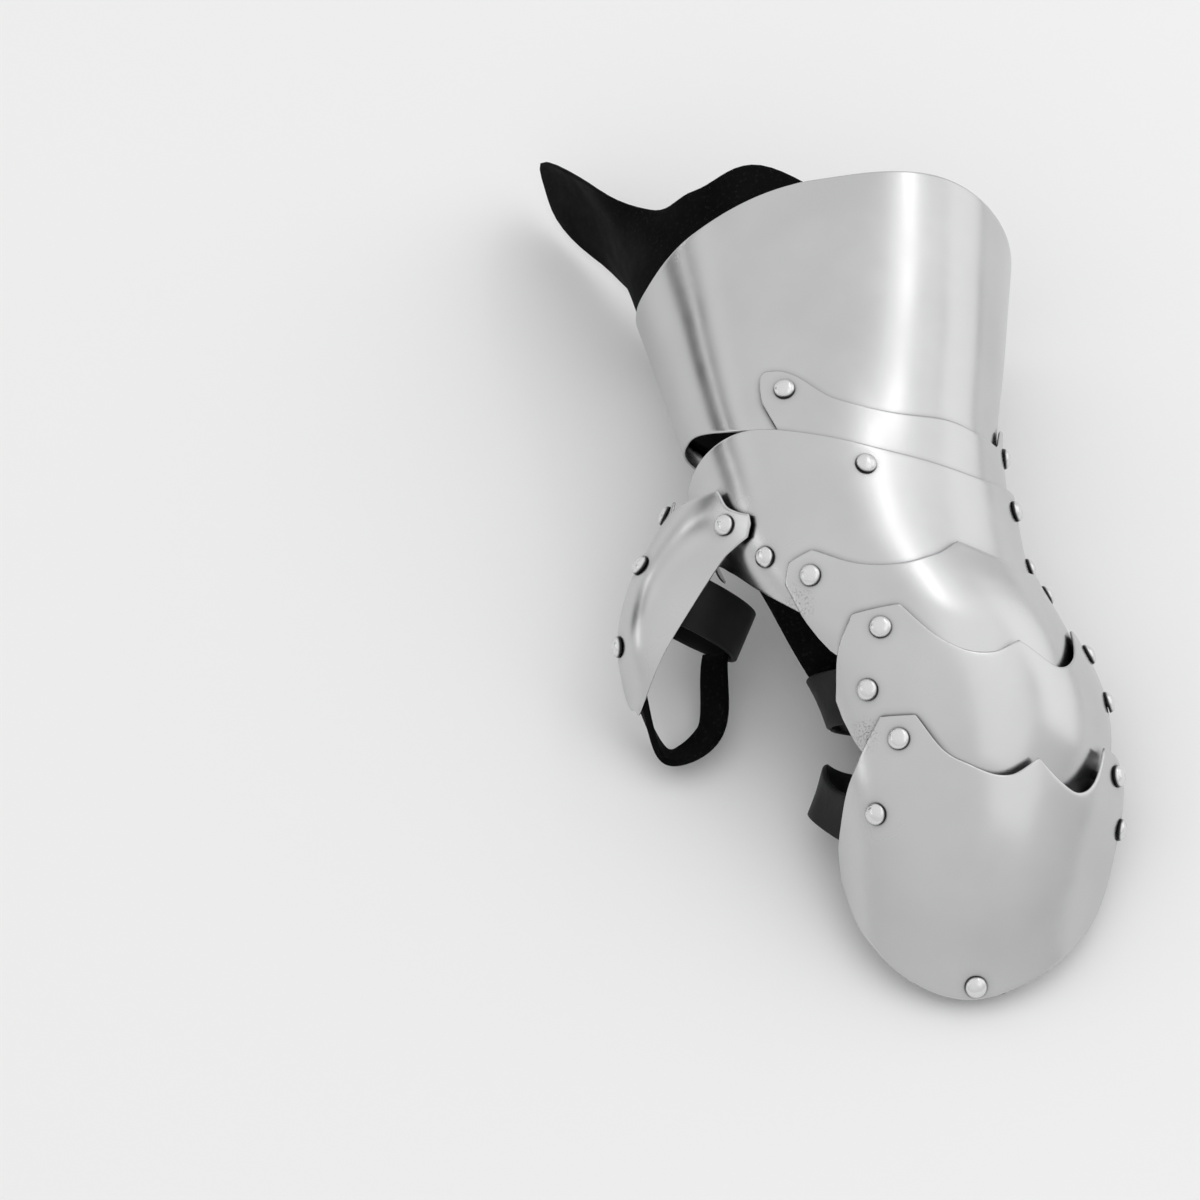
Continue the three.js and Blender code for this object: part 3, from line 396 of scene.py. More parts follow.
def value_at(rows, along, key, places):
    """A column's value at places along a table: a smooth curve through the rows, broken at corner rows."""
    x, y = rows[along], rows[key]
    corner = rows.get("corner", np.zeros(len(x)))
    slope = np.diff(y) / np.diff(x)
    start, end = slope.copy(), slope.copy()
    if len(x) > 2:
        before, after = np.diff(x)[:-1], np.diff(x)[1:]
        middle = (slope[:-1] * after + slope[1:] * before) / (before + after)
        smooth = corner[1:-1] == 0
        start[1:][smooth] = middle[smooth]
        end[:-1][smooth] = middle[smooth]
    segment = np.clip(np.searchsorted(x, places) - 1, 0, len(x) - 2)
    span = x[segment + 1] - x[segment]
    t = (places - x[segment]) / span
    s = np.clip(t, 0, 1)
    curve = cubic(s, y[segment], y[segment + 1], start[segment] * span, end[segment] * span)
    past = np.minimum(t, 0) * start[segment] + np.maximum(t - 1, 0) * end[segment]
    return curve + span * past


def form_at(key, station):
    return value_at(FORM, "station", key, station)


def bare_form_point(angle, station):
    """A point of the form itself."""
    cosine, sine = np.cos(np.radians(angle)), np.sin(np.radians(angle))
    square = form_at("square", station)
    across = form_at("half", station) * np.sign(cosine) * np.abs(cosine) ** square
    reach = np.where(sine >= 0, form_at("rise", station), form_at("under", station))
    up = reach * np.sign(sine) * np.abs(sine) ** square
    roll, lean = np.radians(form_at("roll", station)), np.radians(form_at("lean", station))
    height = up * np.cos(roll) - across * np.sin(roll)
    x = form_at("x", station) + across * np.cos(roll) + up * np.sin(roll)
    y = form_at("y", station) - height * np.sin(lean)
    z = form_at("z", station) + height * np.cos(lean)
    return np.stack([x, y, z], axis=-1)


def form_normal(angle, station):
    turn = bare_form_point(angle + NORMAL_STEP, station) - bare_form_point(angle - NORMAL_STEP, station)
    along = bare_form_point(angle, station + NORMAL_STEP) - bare_form_point(angle, station - NORMAL_STEP)
    return unit(np.cross(turn, along))


def form_point(angle, station, lift):
    return bare_form_point(angle, station) + form_normal(angle, station) * np.asarray(lift)[..., None]


def plate_lift(plate, station):
    return value_at(PLATES[plate]["lifts"], "station", "lift", station)


def thumb_at(key, u):
    return value_at(THUMB_LINE, "u", key, u)


def thumb_centre(u):
    return np.stack([thumb_at("x", u), thumb_at("y", u), thumb_at("z", u)], axis=-1)


def thumb_frame(u):
    """The thumb channel's directions at a place: along it, out at its ridge, and across."""
    along = unit(thumb_centre(u + THUMB_LINE_STEP) - thumb_centre(u - THUMB_LINE_STEP))
    lean = (along * THUMB_RIDGE).sum(axis=-1, keepdims=True)
    ridge = unit(THUMB_RIDGE - along * lean)
    return along, ridge, np.cross(along, ridge)


def ear_point(angle, u, inset):
    """A point of the flat inner ear, which touches the bend of the hand plate."""
    hand_angle, station = single(EAR["hand_angle"], EAR["hand_station"])
    steel = in_millimetres(bpy.context.scene.gauntlet_sizes.steel)
    outward = form_normal(hand_angle, station)
    start = form_point(hand_angle, station, plate_lift("hand_plate", station) + EAR["gap"] + steel)
    along, _, _ = thumb_frame(np.array(EAR["u"]))
    along = unit(along - outward * np.dot(along, outward))
    across = np.cross(along, outward)
    run = (u - EAR["u"]) * EAR["along"]
    turn = (angle - EAR["angle"]) * EAR["round"]
    return start + along * run[..., None] + across * turn[..., None] - outward * inset[..., None]


def channel_point(angle, u, inset):
    """A point of the thumb's domed channel, flatter where it starts."""
    _, ridge, across = thumb_frame(u)
    turn = np.radians(angle)[..., None]
    outward = ridge * np.cos(turn) + across * np.sin(turn)
    middle = (angle - FLAT_START["from_angle"]) / (FLAT_START["to_angle"] - FLAT_START["from_angle"])
    flat = FLAT_START["depth"] * np.sin(np.pi * np.clip(middle, 0, 1)) ** 2
    flat = flat * (1 - smoothstep(u, FLAT_START["from_u"], FLAT_START["to_u"]))
    return thumb_centre(u) + outward * (thumb_at("radius", u) - flat - inset)[..., None]


def thumb_point(angle, u, inset):
    """A point of the thumb plate's face: the flat inner ear, a smooth bend, and the domed channel."""
    angle, u, inset = np.broadcast_arrays(angle, u, inset)
    first, last = EAR_FADE["from_angle"], EAR_FADE["to_angle"]
    at_first, at_last = np.full(angle.shape, float(first)), np.full(angle.shape, float(last))
    channel = channel_point(angle, u, inset)
    start = ear_point(at_first, u, inset)
    end = channel_point(at_last, u, inset)
    chord = np.linalg.norm(end - start, axis=-1)[..., None] * EAR_FADE["fullness"]
    start_slope = unit(ear_point(at_last, u, inset) - start) * chord
    onward = channel_point(at_last + NORMAL_STEP, u, inset) - channel_point(at_last - NORMAL_STEP, u, inset)
    t = np.clip((angle - first) / (last - first), 0, 1)[..., None]
    bend = cubic(t, start, end, start_slope, unit(onward) * chord)
    section = np.where((angle < first)[..., None], ear_point(angle, u, inset), bend)
    section = np.where((angle > last)[..., None], channel, section)
    off_ear = smoothstep(u, EAR_FADE["from_u"], EAR_FADE["to_u"])[..., None]
    return section + (channel - section) * off_ear


def thumb_normal(angle, u):
    turn = thumb_point(angle + NORMAL_STEP, u, 0.0) - thumb_point(angle - NORMAL_STEP, u, 0.0)
    along = thumb_point(angle, u + THUMB_NORMAL_STEP, 0.0) - thumb_point(angle, u - THUMB_NORMAL_STEP, 0.0)
    return unit(np.cross(turn, along))


def uneven(points, spacing, seed):
    """Soft random heights from about -1 to 1 at points, the same on every run."""
    flat = points.reshape(-1, 3) / spacing + seed
    return np.array([noise.noise(Vector(place)) for place in flat]).reshape(points.shape[:-1])


def steps_with_edges(low, high, count, edge):
    """Places from low to high in rows, with rows close to both ends that hold a rounded edge."""
    middle = np.linspace(low + 2 * edge, high - 2 * edge, count)
    return np.concatenate([[low, low + edge], middle, [high - edge, high]])


def column_angles(step, *edges):
    """Every angle of the edges' rows with even steps between, and two more close inside each end."""
    marks = np.unique(np.concatenate([edge["angle"] for edge in edges]))
    angles = [marks[0], marks[0] + EDGE_ANGLE]
    for low, high in zip(marks[:-1], marks[1:]):
        angles.extend(np.linspace(low, high, max(2, math.ceil((high - low) / step) + 1))[1:])
    angles.insert(len(angles) - 1, marks[-1] - EDGE_ANGLE)
    return np.array(sorted(angles))


def edge_share(rows, columns):
    """One on a grid's outline, a little on the row inside it, zero elsewhere."""
    down = np.minimum(np.arange(rows), np.arange(rows)[::-1])
    over = np.minimum(np.arange(columns), np.arange(columns)[::-1])
    ring = np.minimum(down[:, None], over[None, :])
    return np.select([ring == 0, ring == 1], [1.0, SECOND_ROW_WEAR], 0.0)


def grid_faces(rows, columns):
    """Faces of a closed wall between an outer and an inner grid."""
    index = np.arange(rows * columns).reshape(rows, columns)
    inner = index + rows * columns
    a, b, c, d = index[:-1, :-1], index[:-1, 1:], index[1:, 1:], index[1:, :-1]
    sides = [np.stack([a, b, c, d], -1).reshape(-1, 4)]
    sides.append(np.stack([d, c, b, a], -1).reshape(-1, 4) + rows * columns)
    outline = np.concatenate([index[0, :-1], index[:-1, -1], index[-1, :0:-1], index[:0:-1, 0]])
    below = np.concatenate([inner[0, :-1], inner[:-1, -1], inner[-1, :0:-1], inner[:0:-1, 0]])
    sides.append(np.stack([outline, below, np.roll(below, -1), np.roll(outline, -1)], -1))
    return np.concatenate(sides).tolist()


def tube_faces(sections, around, closed):
    """Faces of a bar made of rings of points, with its ends capped unless it closes on itself."""
    index = np.arange(sections * around).reshape(sections, around)
    ahead = np.roll(index, -1, axis=0) if closed else index[1:]
    here = index if closed else index[:-1]
    faces = np.stack([here, np.roll(here, -1, 1), np.roll(ahead, -1, 1), ahead], -1).reshape(-1, 4).tolist()
    if not closed:
        faces.append(index[0, ::-1].tolist())
        faces.append(index[-1].tolist())
    return faces


def facing_out(points, faces):
    """The faces turned so that the wall they close has a positive volume."""
    corners = np.array([face[:3] for face in faces])
    a, b, c = points[corners[:, 0]], points[corners[:, 1]], points[corners[:, 2]]
    third = np.array([face[3] if len(face) == 4 else face[2] for face in faces])
    d = points[third]
    volume = (np.cross(b, c) * a).sum() + (np.cross(c, d) * a).sum()
    return faces if volume > 0 else [face[::-1] for face in faces]


def add_piece(name, points, faces, material, uv=None, wear=None):
    """A new smooth object from points in millimetres."""
    mesh = bpy.data.meshes.new(name)
    points = points.reshape(-1, 3)
    places = (points - FLOOR_CENTRE) * MILLIMETRE
    mesh.from_pydata(places.tolist(), [], facing_out(points, faces))
    mesh.polygons.foreach_set("use_smooth", [True] * len(mesh.polygons))
    if uv is not None:
        corner = np.empty(len(mesh.loops), int)
        mesh.loops.foreach_get("vertex_index", corner)
        layer = mesh.uv_layers.new(name="surface")
        layer.data.foreach_set("uv", uv.reshape(-1, 2)[corner].ravel())
    if wear is not None:
        mesh.attributes.new("edge_wear", "FLOAT", "POINT").data.foreach_set("value", wear.ravel())
    mesh.materials.append(material)
    piece = bpy.data.objects.new(name, mesh)
    bpy.context.collection.objects.link(piece)
    return piece


def hand_over(piece, body, slot, *nodes):
    """The piece rides on a body and stands for its nodes; the slot is not used."""
    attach(piece, body)
    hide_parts(*nodes)


def centripetal_curve(places, steps):
    """Points on a smooth curve through places, with even steps between them."""
    before = 2 * places[:1] - places[1:2]
    after = 2 * places[-1:] - places[-2:-1]
    knots = np.concatenate([before, places, after])
    points = []
    for i in range(len(places) - 1):
        p0, p1, p2, p3 = knots[i:i + 4]
        d0, d1, d2 = [np.linalg.norm(q - p) ** 0.5 for p, q in ((p0, p1), (p1, p2), (p2, p3))]
        d0, d2 = d0 or d1, d2 or d1
        m1 = ((p1 - p0) / d0 - (p2 - p0) / (d0 + d1) + (p2 - p1) / d1) * d1
        m2 = ((p2 - p1) / d1 - (p3 - p1) / (d1 + d2) + (p3 - p2) / d2) * d1
        last = i == len(places) - 2
        for t in np.linspace(0, 1, steps + 1)[: steps + 1 if last else steps]:
            points.append(cubic(t, p1, p2, m1, m2))
    return np.array(points)


def strap_profile(width, thickness):
    """A rounded flat section: places across the strap and depths below its face, in a ring."""
    radius = thickness * STRAP_ROUNDING
    half = width / 2 - radius
    ring = []
    for centre_x, centre_y, first in ((half, radius, 270), (half, thickness - radius, 0),
                                      (-half, thickness - radius, 90), (-half, radius, 180)):
        for turn in np.radians(np.linspace(first, first + 90, PROFILE_ARC)):
            ring.append((centre_x + radius * math.cos(turn), centre_y + radius * math.sin(turn)))
        if first in (0, 180):
            end = -half if first == 0 else half
            for x in np.linspace(centre_x, end, PROFILE_RUN + 2)[1:-1]:
                ring.append((x, thickness if first == 0 else 0.0))
    return np.array(ring)


def feed(tree, socket, value):
    """Sets a socket to a constant, or links another socket to it."""
    if isinstance(value, bpy.types.NodeSocket):
        tree.links.new(value, socket)
    else:
        socket.default_value = value


def node(tree, kind, inputs=None, **settings):
    """A new shader or geometry node with its settings, and its inputs set or linked."""
    made = tree.nodes.new(kind)
    for name, value in settings.items():
        setattr(made, name, value)
    for name, value in (inputs or {}).items():
        feed(tree, made.inputs[name], value)
    return made


def new_material(name, **constants):
    """A material with a shader whose constant sockets are set directly."""
    material = bpy.data.materials.new(name)
    material.use_nodes = True
    tree = material.node_tree
    tree.nodes.clear()
    shader = node(tree, "ShaderNodeBsdfPrincipled", constants)
    node(tree, "ShaderNodeOutputMaterial", {"Surface": shader.outputs["BSDF"]})
    return material, tree, shader


def object_place(tree):
    return node(tree, "ShaderNodeTexCoord").outputs["Object"]


def colour_of(values, factor=1.0):
    """A colour with its alpha, made darker or paler by a factor."""
    return (*[min(1.0, factor * value) for value in values], 1.0)


def ramp(tree, source, low, high, value_low=0.0, value_high=1.0):
    """A value that goes from one to another as its source goes from low to high."""
    made = node(tree, "ShaderNodeMapRange", {
        "Value": source, "From Min": low, "From Max": high, "To Min": value_low, "To Max": value_high})
    return made.outputs["Result"]


def mixed(tree, share, first, second):
    """A colour between two, by a share; each is a socket or a constant colour."""
    made = node(tree, "ShaderNodeMix", {"Factor": share}, data_type="RGBA")
    for name, value in (("A_Color", first), ("B_Color", second)):
        feed(tree, next(s for s in made.inputs if s.identifier == name), value)
    return next(s for s in made.outputs if s.identifier == "Result_Color")


def calculated(tree, operation, first, second):
    """Two values put together; each is a socket or a constant."""
    return node(tree, "ShaderNodeMath", {0: first, 1: second}, operation=operation).outputs["Value"]


def textured(tree, coordinates, scale, kind="ShaderNodeTexNoise", stretch=(1, 1, 1), **inputs):
    """A noise texture on stretched coordinates."""
    mapping = node(tree, "ShaderNodeMapping", {"Vector": coordinates, "Scale": stretch})
    return node(tree, kind, {"Vector": mapping.outputs["Vector"], "Scale": scale, **inputs})


def bumped(tree, shader, *heights):
    """Bump maps in a chain from (height socket, strength, distance in metres)."""
    below = {}
    for height, strength, distance in heights:
        bump = node(tree, "ShaderNodeBump", {
            "Strength": strength, "Distance": distance, "Height": height, **below})
        below = {"Normal": bump.outputs["Normal"]}
    feed(tree, shader.inputs["Normal"], below["Normal"])


def tarnished(tree, place, tone):
    """A steel colour with small dark speckles near the places of tarnish."""
    specks = textured(tree, place, TARNISH_SPECKS["scale"], Detail=3.0, Roughness=0.7)
    share = ramp(tree, specks.outputs["Fac"], TARNISH_SPECKS["from"], TARNISH_SPECKS["to"])
    for plate, angle, station, reach in TARNISH:
        angle, station = single(angle, station)
        centre = form_point(angle, station, plate_lift(plate, station)) - FLOOR_CENTRE
        away = node(
            tree, "ShaderNodeVectorMath", {0: place, 1: (centre * MILLIMETRE).tolist()}, operation="DISTANCE")
        near = ramp(tree, away.outputs["Value"], 0.0, reach * MILLIMETRE, 1.0, 0.0)
        tone = mixed(tree, calculated(tree, "MULTIPLY", near, share), tone, TARNISH_COLOUR)
    return tone


def steel_material(name, colour):
    """Satin polished steel: polishing lines, cloudy haze, brighter edges, a little tarnish, and painted shade
    that darkens the colour where other surfaces come close.
    """
    material, tree, shader = new_material(name, Metallic=1.0)
    finish = STEEL_FINISH
    place = object_place(tree)
    haze = textured(tree, place, finish["haze"], Detail=3.0, Roughness=0.55).outputs["Fac"]
    cloud = ramp(tree, haze, *finish["cloud"])
    tone = mixed(tree, cloud, colour_of(colour, finish["cloud_shade"]), colour_of(colour))
    tone = tarnished(tree, place, tone)
    surface = node(tree, "ShaderNodeUVMap", uv_map="surface").outputs["UV"]
    lines = textured(tree, surface, 1.0, stretch=finish["line_stretch"], Detail=2.0)
    scratches = textured(tree, surface, 1.0, stretch=finish["scratch_stretch"], Detail=1.0)
    wear = node(tree, "ShaderNodeAttribute", attribute_name="edge_wear")
    tone = mixed(tree, wear.outputs["Fac"], tone, colour_of(colour, finish["edge_shade"]))
    # Painted shade: the colour goes near-black where other surfaces come close, under plate edges and round
    # rivet heads
    painted_shade_probe = node(
        tree, "ShaderNodeAmbientOcclusion", {"Distance": finish["painted_shade_reach"]}, samples=finish["painted_shade_samples"])
    unshaded_share = ramp(tree, painted_shade_probe.outputs["AO"], *finish["painted_shade_fade"])
    feed(tree, shader.inputs["Base Color"], mixed(tree, unshaded_share, PAINTED_SHADE_COLOUR, tone))
    feed(tree, shader.inputs["Roughness"], ramp(tree, haze, *finish["roughness"]))
    bumped(
        tree, shader, (lines.outputs["Fac"], *finish["line_bump"]),
        (scratches.outputs["Fac"], *finish["scratch_bump"]))
    return material


def rivet_material(name, colour):
    """Hammered bright steel, with painted shade low on each head where it meets the plate."""
    material, tree, shader = new_material(name, Metallic=1.0)
    finish = RIVET_FINISH
    haze = textured(tree, object_place(tree), finish["haze"], Detail=3.0, Roughness=0.6).outputs["Fac"]
    # Painted shade: the colour goes near-black low on the head, where it meets the plate
    crown = node(tree, "ShaderNodeAttribute", attribute_name="crown")
    share = ramp(tree, crown.outputs["Fac"], *finish["painted_shade_end"])
    feed(tree, shader.inputs["Base Color"], mixed(tree, share, PAINTED_SHADE_COLOUR, colour_of(colour)))
    feed(tree, shader.inputs["Roughness"], ramp(tree, haze, *finish["roughness"]))
    bumped(tree, shader, (haze, *finish["bump"]))
    return material


def suede_material(name, colour):
    """Black suede: a fine nap, cloudy wear, loose fibres and a faint sheen."""
    material, tree, shader = new_material(
        name, **{"Sheen Weight": 0.006, "Sheen Roughness": 0.5, "Specular IOR Level": 0.05})
    finish = SUEDE_FINISH
    place = object_place(tree)
    nap = textured(tree, place, finish["nap"], Detail=4.0, Roughness=0.7)
    cloud = textured(tree, place, finish["cloud"], Detail=3.0).outputs["Fac"]
    worn = ramp(tree, cloud, *finish["worn"])
    tone = mixed(tree, worn, colour_of(colour), colour_of(colour, finish["worn_shade"]))
    fibres = textured(tree, place, finish["fibres"], Detail=5.0, Roughness=0.75)
    loose = ramp(tree, fibres.outputs["Fac"], *finish["loose"])
    tone = mixed(tree, loose, tone, colour_of(colour, finish["loose_shade"]))
    feed(tree, shader.inputs["Base Color"], tone)
    feed(tree, shader.inputs["Roughness"], ramp(tree, cloud, *finish["roughness"]))
    bumped(tree, shader, (nap.outputs["Fac"], *finish["nap_bump"]), (cloud, *finish["cloud_bump"]))
    return material


def band_material(name, colour):
    """Smooth dark strap leather: pebbled grain, faint creases and paler rubbed places."""
    material, tree, shader = new_material(name, **{"Specular IOR Level": 0.2})
    finish = BAND_FINISH
    place = object_place(tree)
    grain = textured(tree, place, finish["grain"], "ShaderNodeTexVoronoi")
    cloud = textured(tree, place, finish["cloud"], Detail=4.0).outputs["Fac"]
    rubbed = ramp(tree, cloud, *finish["rubbed"])
    tone = mixed(tree, rubbed, colour_of(colour), colour_of(colour, finish["rubbed_shade"]))
    feed(tree, shader.inputs["Base Color"], tone)
    feed(tree, shader.inputs["Roughness"], ramp(tree, cloud, *finish["roughness"]))
    bumped(tree, shader, (grain.outputs["Distance"], *finish["grain_bump"]), (cloud, *finish["cloud_bump"]))
    return material


def material_named(name):
    """One of the gauntlet's materials, made the first time that it is asked for."""
    if name in bpy.data.materials:
        return bpy.data.materials[name]
    finish = bpy.context.scene.gauntlet_finish
    if name == "plate_steel":
        return steel_material(name, finish.steel)
    if name == "rivet_head_steel":
        return rivet_material(name, finish.rivet)
    if name == "black_suede":
        return suede_material(name, finish.suede)
    return band_material(name, finish.band)


def plate_grid(upper_edge, lower_edge, key, edge_width, length=None):
    """Angles and places of a plate's points between its two edges, and the wear of its outline."""
    angles = column_angles(COLUMN_STEP, upper_edge, lower_edge)
    upper = value_at(upper_edge, "angle", key, angles)
    lower = value_at(lower_edge, "angle", key, angles)
    count = math.ceil((length or (lower - upper).max()) / PLATE_ROW_LENGTH)
    edge = np.minimum(edge_width, (lower - upper) / EDGE_PARTS_IN_LENGTH)
    places = steps_with_edges(upper, lower, count, edge)
    return np.broadcast_to(angles, places.shape), places, edge_share(*places.shape)


def add_plate(name, body, walls, around, along, wear):
    """A steel plate from its outer and inner face, with its surface coordinates in metres."""
    uv = np.stack([around, along], -1) * MILLIMETRE
    piece = add_piece(
        name + "_steel", np.stack(walls), grid_faces(*wear.shape), material_named("plate_steel"),
        np.stack([uv, uv]), np.stack([wear, wear]))
    hand_over(piece, body, "steel", name)


class GAUNTLET_OT_plates(bpy.types.Operator):
    """Make the steel plates that follow the form of the forearm and hand"""
    bl_idname = "gauntlet.plates"
    bl_label = "Steel plates"

    def execute(self, context):
        sizes, finish = context.scene.gauntlet_sizes, context.scene.gauntlet_finish
        steel, wave = in_millimetres(sizes.steel), in_millimetres(finish.wave)
        for seed, (name, plate) in enumerate(PLATES.items()):
            angles, stations, wear = plate_grid(plate["upper"], plate["lower"], "station", EDGE_WIDTH)
            lift = plate_lift(name, stations)
            lift = lift + wave * uneven(bare_form_point(angles, stations), STEEL_WAVE_SPACING, seed)
            rounding = wear * steel * PLATE_ROUNDING
            outer = form_point(angles, stations, lift - rounding)
            inner = form_point(angles, stations, lift - steel + rounding)
            around = np.radians(angles) * form_at("half", stations)
            add_plate(name, plate["body"], [outer, inner], around, stations, wear)
        return {"FINISHED"}


class GAUNTLET_OT_thumb_plate(bpy.types.Operator):
    """Make the domed steel plate over the thumb"""
    bl_idname = "gauntlet.thumb_plate"
    bl_label = "Thumb plate"

    def execute(self, context):
        sizes, finish = context.scene.gauntlet_sizes, context.scene.gauntlet_finish
        steel, wave = in_millimetres(sizes.steel), in_millimetres(finish.wave)
        angles, ways, wear = plate_grid(THUMB_UPPER, THUMB_LOWER, "u", THUMB_EDGE_U, THUMB_LENGTH)
        swell = wave * uneven(thumb_point(angles, ways, 0.0), STEEL_WAVE_SPACING, len(PLATES))
        rounding = wear * steel * PLATE_ROUNDING
        outer = thumb_point(angles, ways, rounding - swell)
        inner = thumb_point(angles, ways, steel - rounding - swell)
        around = np.radians(angles) * thumb_at("radius", ways)
        add_plate("thumb_plate", "hand", [outer, inner], around, ways * THUMB_LENGTH, wear)
        return {"FINISHED"}


class GAUNTLET_OT_lining(bpy.types.Operator):
    """Make the black leather lining of the forearm with its free edge"""
    bl_idname = "gauntlet.lining"
    bl_label = "Forearm lining"

    def execute(self, context):
        sizes = context.scene.gauntlet_sizes
        leather = in_millimetres(sizes.leather)
        inset = in_millimetres(sizes.steel) + LEATHER_GAP
        angles = column_angles(LEATHER_COLUMN_STEP, LINING_RIM, LINING_SAG)
        rim = value_at(LINING_RIM, "angle", "station", angles)
        wrist = np.full_like(rim, LINING_WRIST_STATION)
        stations = steps_with_edges(rim, wrist, LINING_ROWS, LINING_EDGE_WIDTH)
        angle_grid = np.broadcast_to(angles, stations.shape)
        past = np.maximum(0, -stations) / np.maximum(1, -rim)
        flare = value_at(LINING_RIM, "angle", "flare", angle_grid) * past**2
        sag = value_at(LINING_SAG, "angle", "sag", angle_grid)
        folds = uneven(bare_form_point(angle_grid, stations), FOLDS["spacing"], FOLDS["seed"])
        folds = folds * FOLDS["height"] * smoothstep(past, FOLDS["from"], FOLDS["to"])

        def wall(depth):
            points = form_point(angle_grid, stations, flare + folds - inset - depth)
            points[..., 2] = np.maximum(points[..., 2] - sag, depth)
            return points

        rounding = edge_share(*stations.shape) * leather * LINING_ROUNDING
        walls = np.stack([wall(rounding), wall(leather - rounding)])
        faces = grid_faces(*stations.shape)
        piece = add_piece("forearm_lining_suede", walls, faces, material_named("black_suede"))
        hand_over(piece, "cuff", "suede", "forearm_lining")
        return {"FINISHED"}


class GAUNTLET_OT_bands(bpy.types.Operator):
    """Make the leather bands round the palm side of the fingers and the thumb's ring"""
    bl_idname = "gauntlet.bands"
    bl_label = "Leather bands"

    def execute(self, context):
        sizes = context.scene.gauntlet_sizes
        leather = in_millimetres(sizes.leather)
        inset = in_millimetres(sizes.steel) + LEATHER_GAP
        for name, band in BANDS.items():
            profile = strap_profile(BAND_WIDTH, leather)
            count = round((band["end"] - band["start"]) / BAND_STEP)
            angles = np.linspace(band["start"], band["end"], count + 1)
            angle_grid, across = np.broadcast_arrays(angles[:, None], profile[None, :, 0])
            depth = np.broadcast_to(profile[None, :, 1], across.shape)
            free = smoothstep(angle_grid, PALM["thumb_from"], PALM["thumb_to"])
            free = free * (1 - smoothstep(angle_grid, PALM["outer_from"], PALM["outer_to"]))
            lift, slip, twist = [
                value_at(band["palm"], "angle", key, angle_grid) for key in ("lift", "slip", "twist")]
            stations = band["station"] + across + slip * free
            inside = plate_lift(band["plate"], stations) - inset
            let_down = lift + twist * across - inside
            points = form_point(angle_grid, stations, inside + let_down * free - depth)
            points[..., 2] = np.maximum(points[..., 2], depth)
            self.band(name, points, False)
        self.thumb_ring(leather)
        return {"FINISHED"}

    def band(self, name, points, closed):
        faces = tube_faces(*points.shape[:2], closed)
        piece = add_piece(name + "_leather", points, faces, material_named("band_leather"))
        hand_over(piece, "hand", "strap_leather", name)

    def thumb_ring(self, leather):
        ring = THUMB_RING
        u = np.array(ring["u"])
        along, ridge, across = thumb_frame(u)
        centre = thumb_centre(u) + ridge * ring["shift"]
        profile = strap_profile(ring["width"], leather)
        turn = np.linspace(0, 2 * math.pi, RING_SECTIONS, endpoint=False)[:, None, None]
        side, depth = profile[None, :, :1], profile[None, :, 1:]
        points = centre + along * side + ridge * (ring["ridge_radius"] - depth) * np.cos(turn)
        points = points + across * (ring["across_radius"] - depth) * np.sin(turn)
        self.band("thumb_ring", points, True)


class GAUNTLET_OT_straps(bpy.types.Operator):
    """Make the finger strap and the thumb strap"""
    bl_idname = "gauntlet.straps"
    bl_label = "Suede straps"

    def execute(self, context):
        sizes = context.scene.gauntlet_sizes
        strap = in_millimetres(sizes.strap)
        depth = in_millimetres(sizes.steel) + LEATHER_GAP + strap / 2

        def under_plate(end):
            rows = []
            for place in end["stations"]:
                angle, station = single(end["angle"], place)
                inside = plate_lift(end["plate"], station) - depth - end["slack"]
                rows.append((form_point(angle, station, inside), form_normal(angle, station)))
            return rows

        def under_thumb(place):
            angle, u = single(THUMB_STRAP_ANGLE, place)
            return thumb_point(angle, u, depth + THUMB_LEATHER_SLACK), thumb_normal(angle, u)

        def in_ring(forward):
            u = np.array(THUMB_RING["u"])
            along, ridge, _ = thumb_frame(u)
            rise = in_millimetres(sizes.leather) + LEATHER_GAP + strap / 2 + THUMB_LEATHER_SLACK
            rise += THUMB_RING["shift"] - THUMB_RING["ridge_radius"]
            return thumb_centre(u) + along * forward + ridge * rise, -ridge

        finger = [*under_plate(FINGER_STRAP_START), *FINGER_STRAP_RUN, *under_plate(FINGER_STRAP_END)]
        thumb = [in_ring(forward) for forward in THUMB_STRAP_IN_RING]
        thumb += [*THUMB_STRAP_LOOP, *[under_thumb(u) for u in THUMB_STRAP_UNDER_PLATE]]
        self.strap("finger_strap", finger, FINGER_STRAP_WIDTH, strap)
        self.strap("thumb_strap", thumb, THUMB_STRAP_WIDTH, strap)
        return {"FINISHED"}

    def strap(self, name, rows, width, thickness):
        centres = centripetal_curve(np.array([row[0] for row in rows], float), STRAP_STEPS_PER_ROW)
        facing = centripetal_curve(np.array([row[1] for row in rows], float), STRAP_STEPS_PER_ROW)
        along = unit(np.gradient(centres, axis=0))
        across = unit(np.cross(along, facing))
        face = unit(np.cross(across, along))
        profile = strap_profile(width, thickness)
        length = np.concatenate([[0], np.cumsum(np.linalg.norm(np.diff(centres, axis=0), axis=1))])
        from_end = np.minimum(np.minimum(length, length[-1] - length), STRAP_END_CORNER)
        rounding = STRAP_END_CORNER - np.sqrt(STRAP_END_CORNER**2 - (STRAP_END_CORNER - from_end) ** 2)
        narrow = (1 - 2 * rounding / width)[:, None]
        points = centres[:, None] + across[:, None] * (profile[None, :, :1] * narrow[..., None])
        points = points + face[:, None] * (thickness / 2 - profile[None, :, 1:])
        faces = tube_faces(*points.shape[:2], False)
        piece = add_piece(name + "_suede", points, faces, material_named("black_suede"))
        hand_over(piece, "hand", "suede", name)


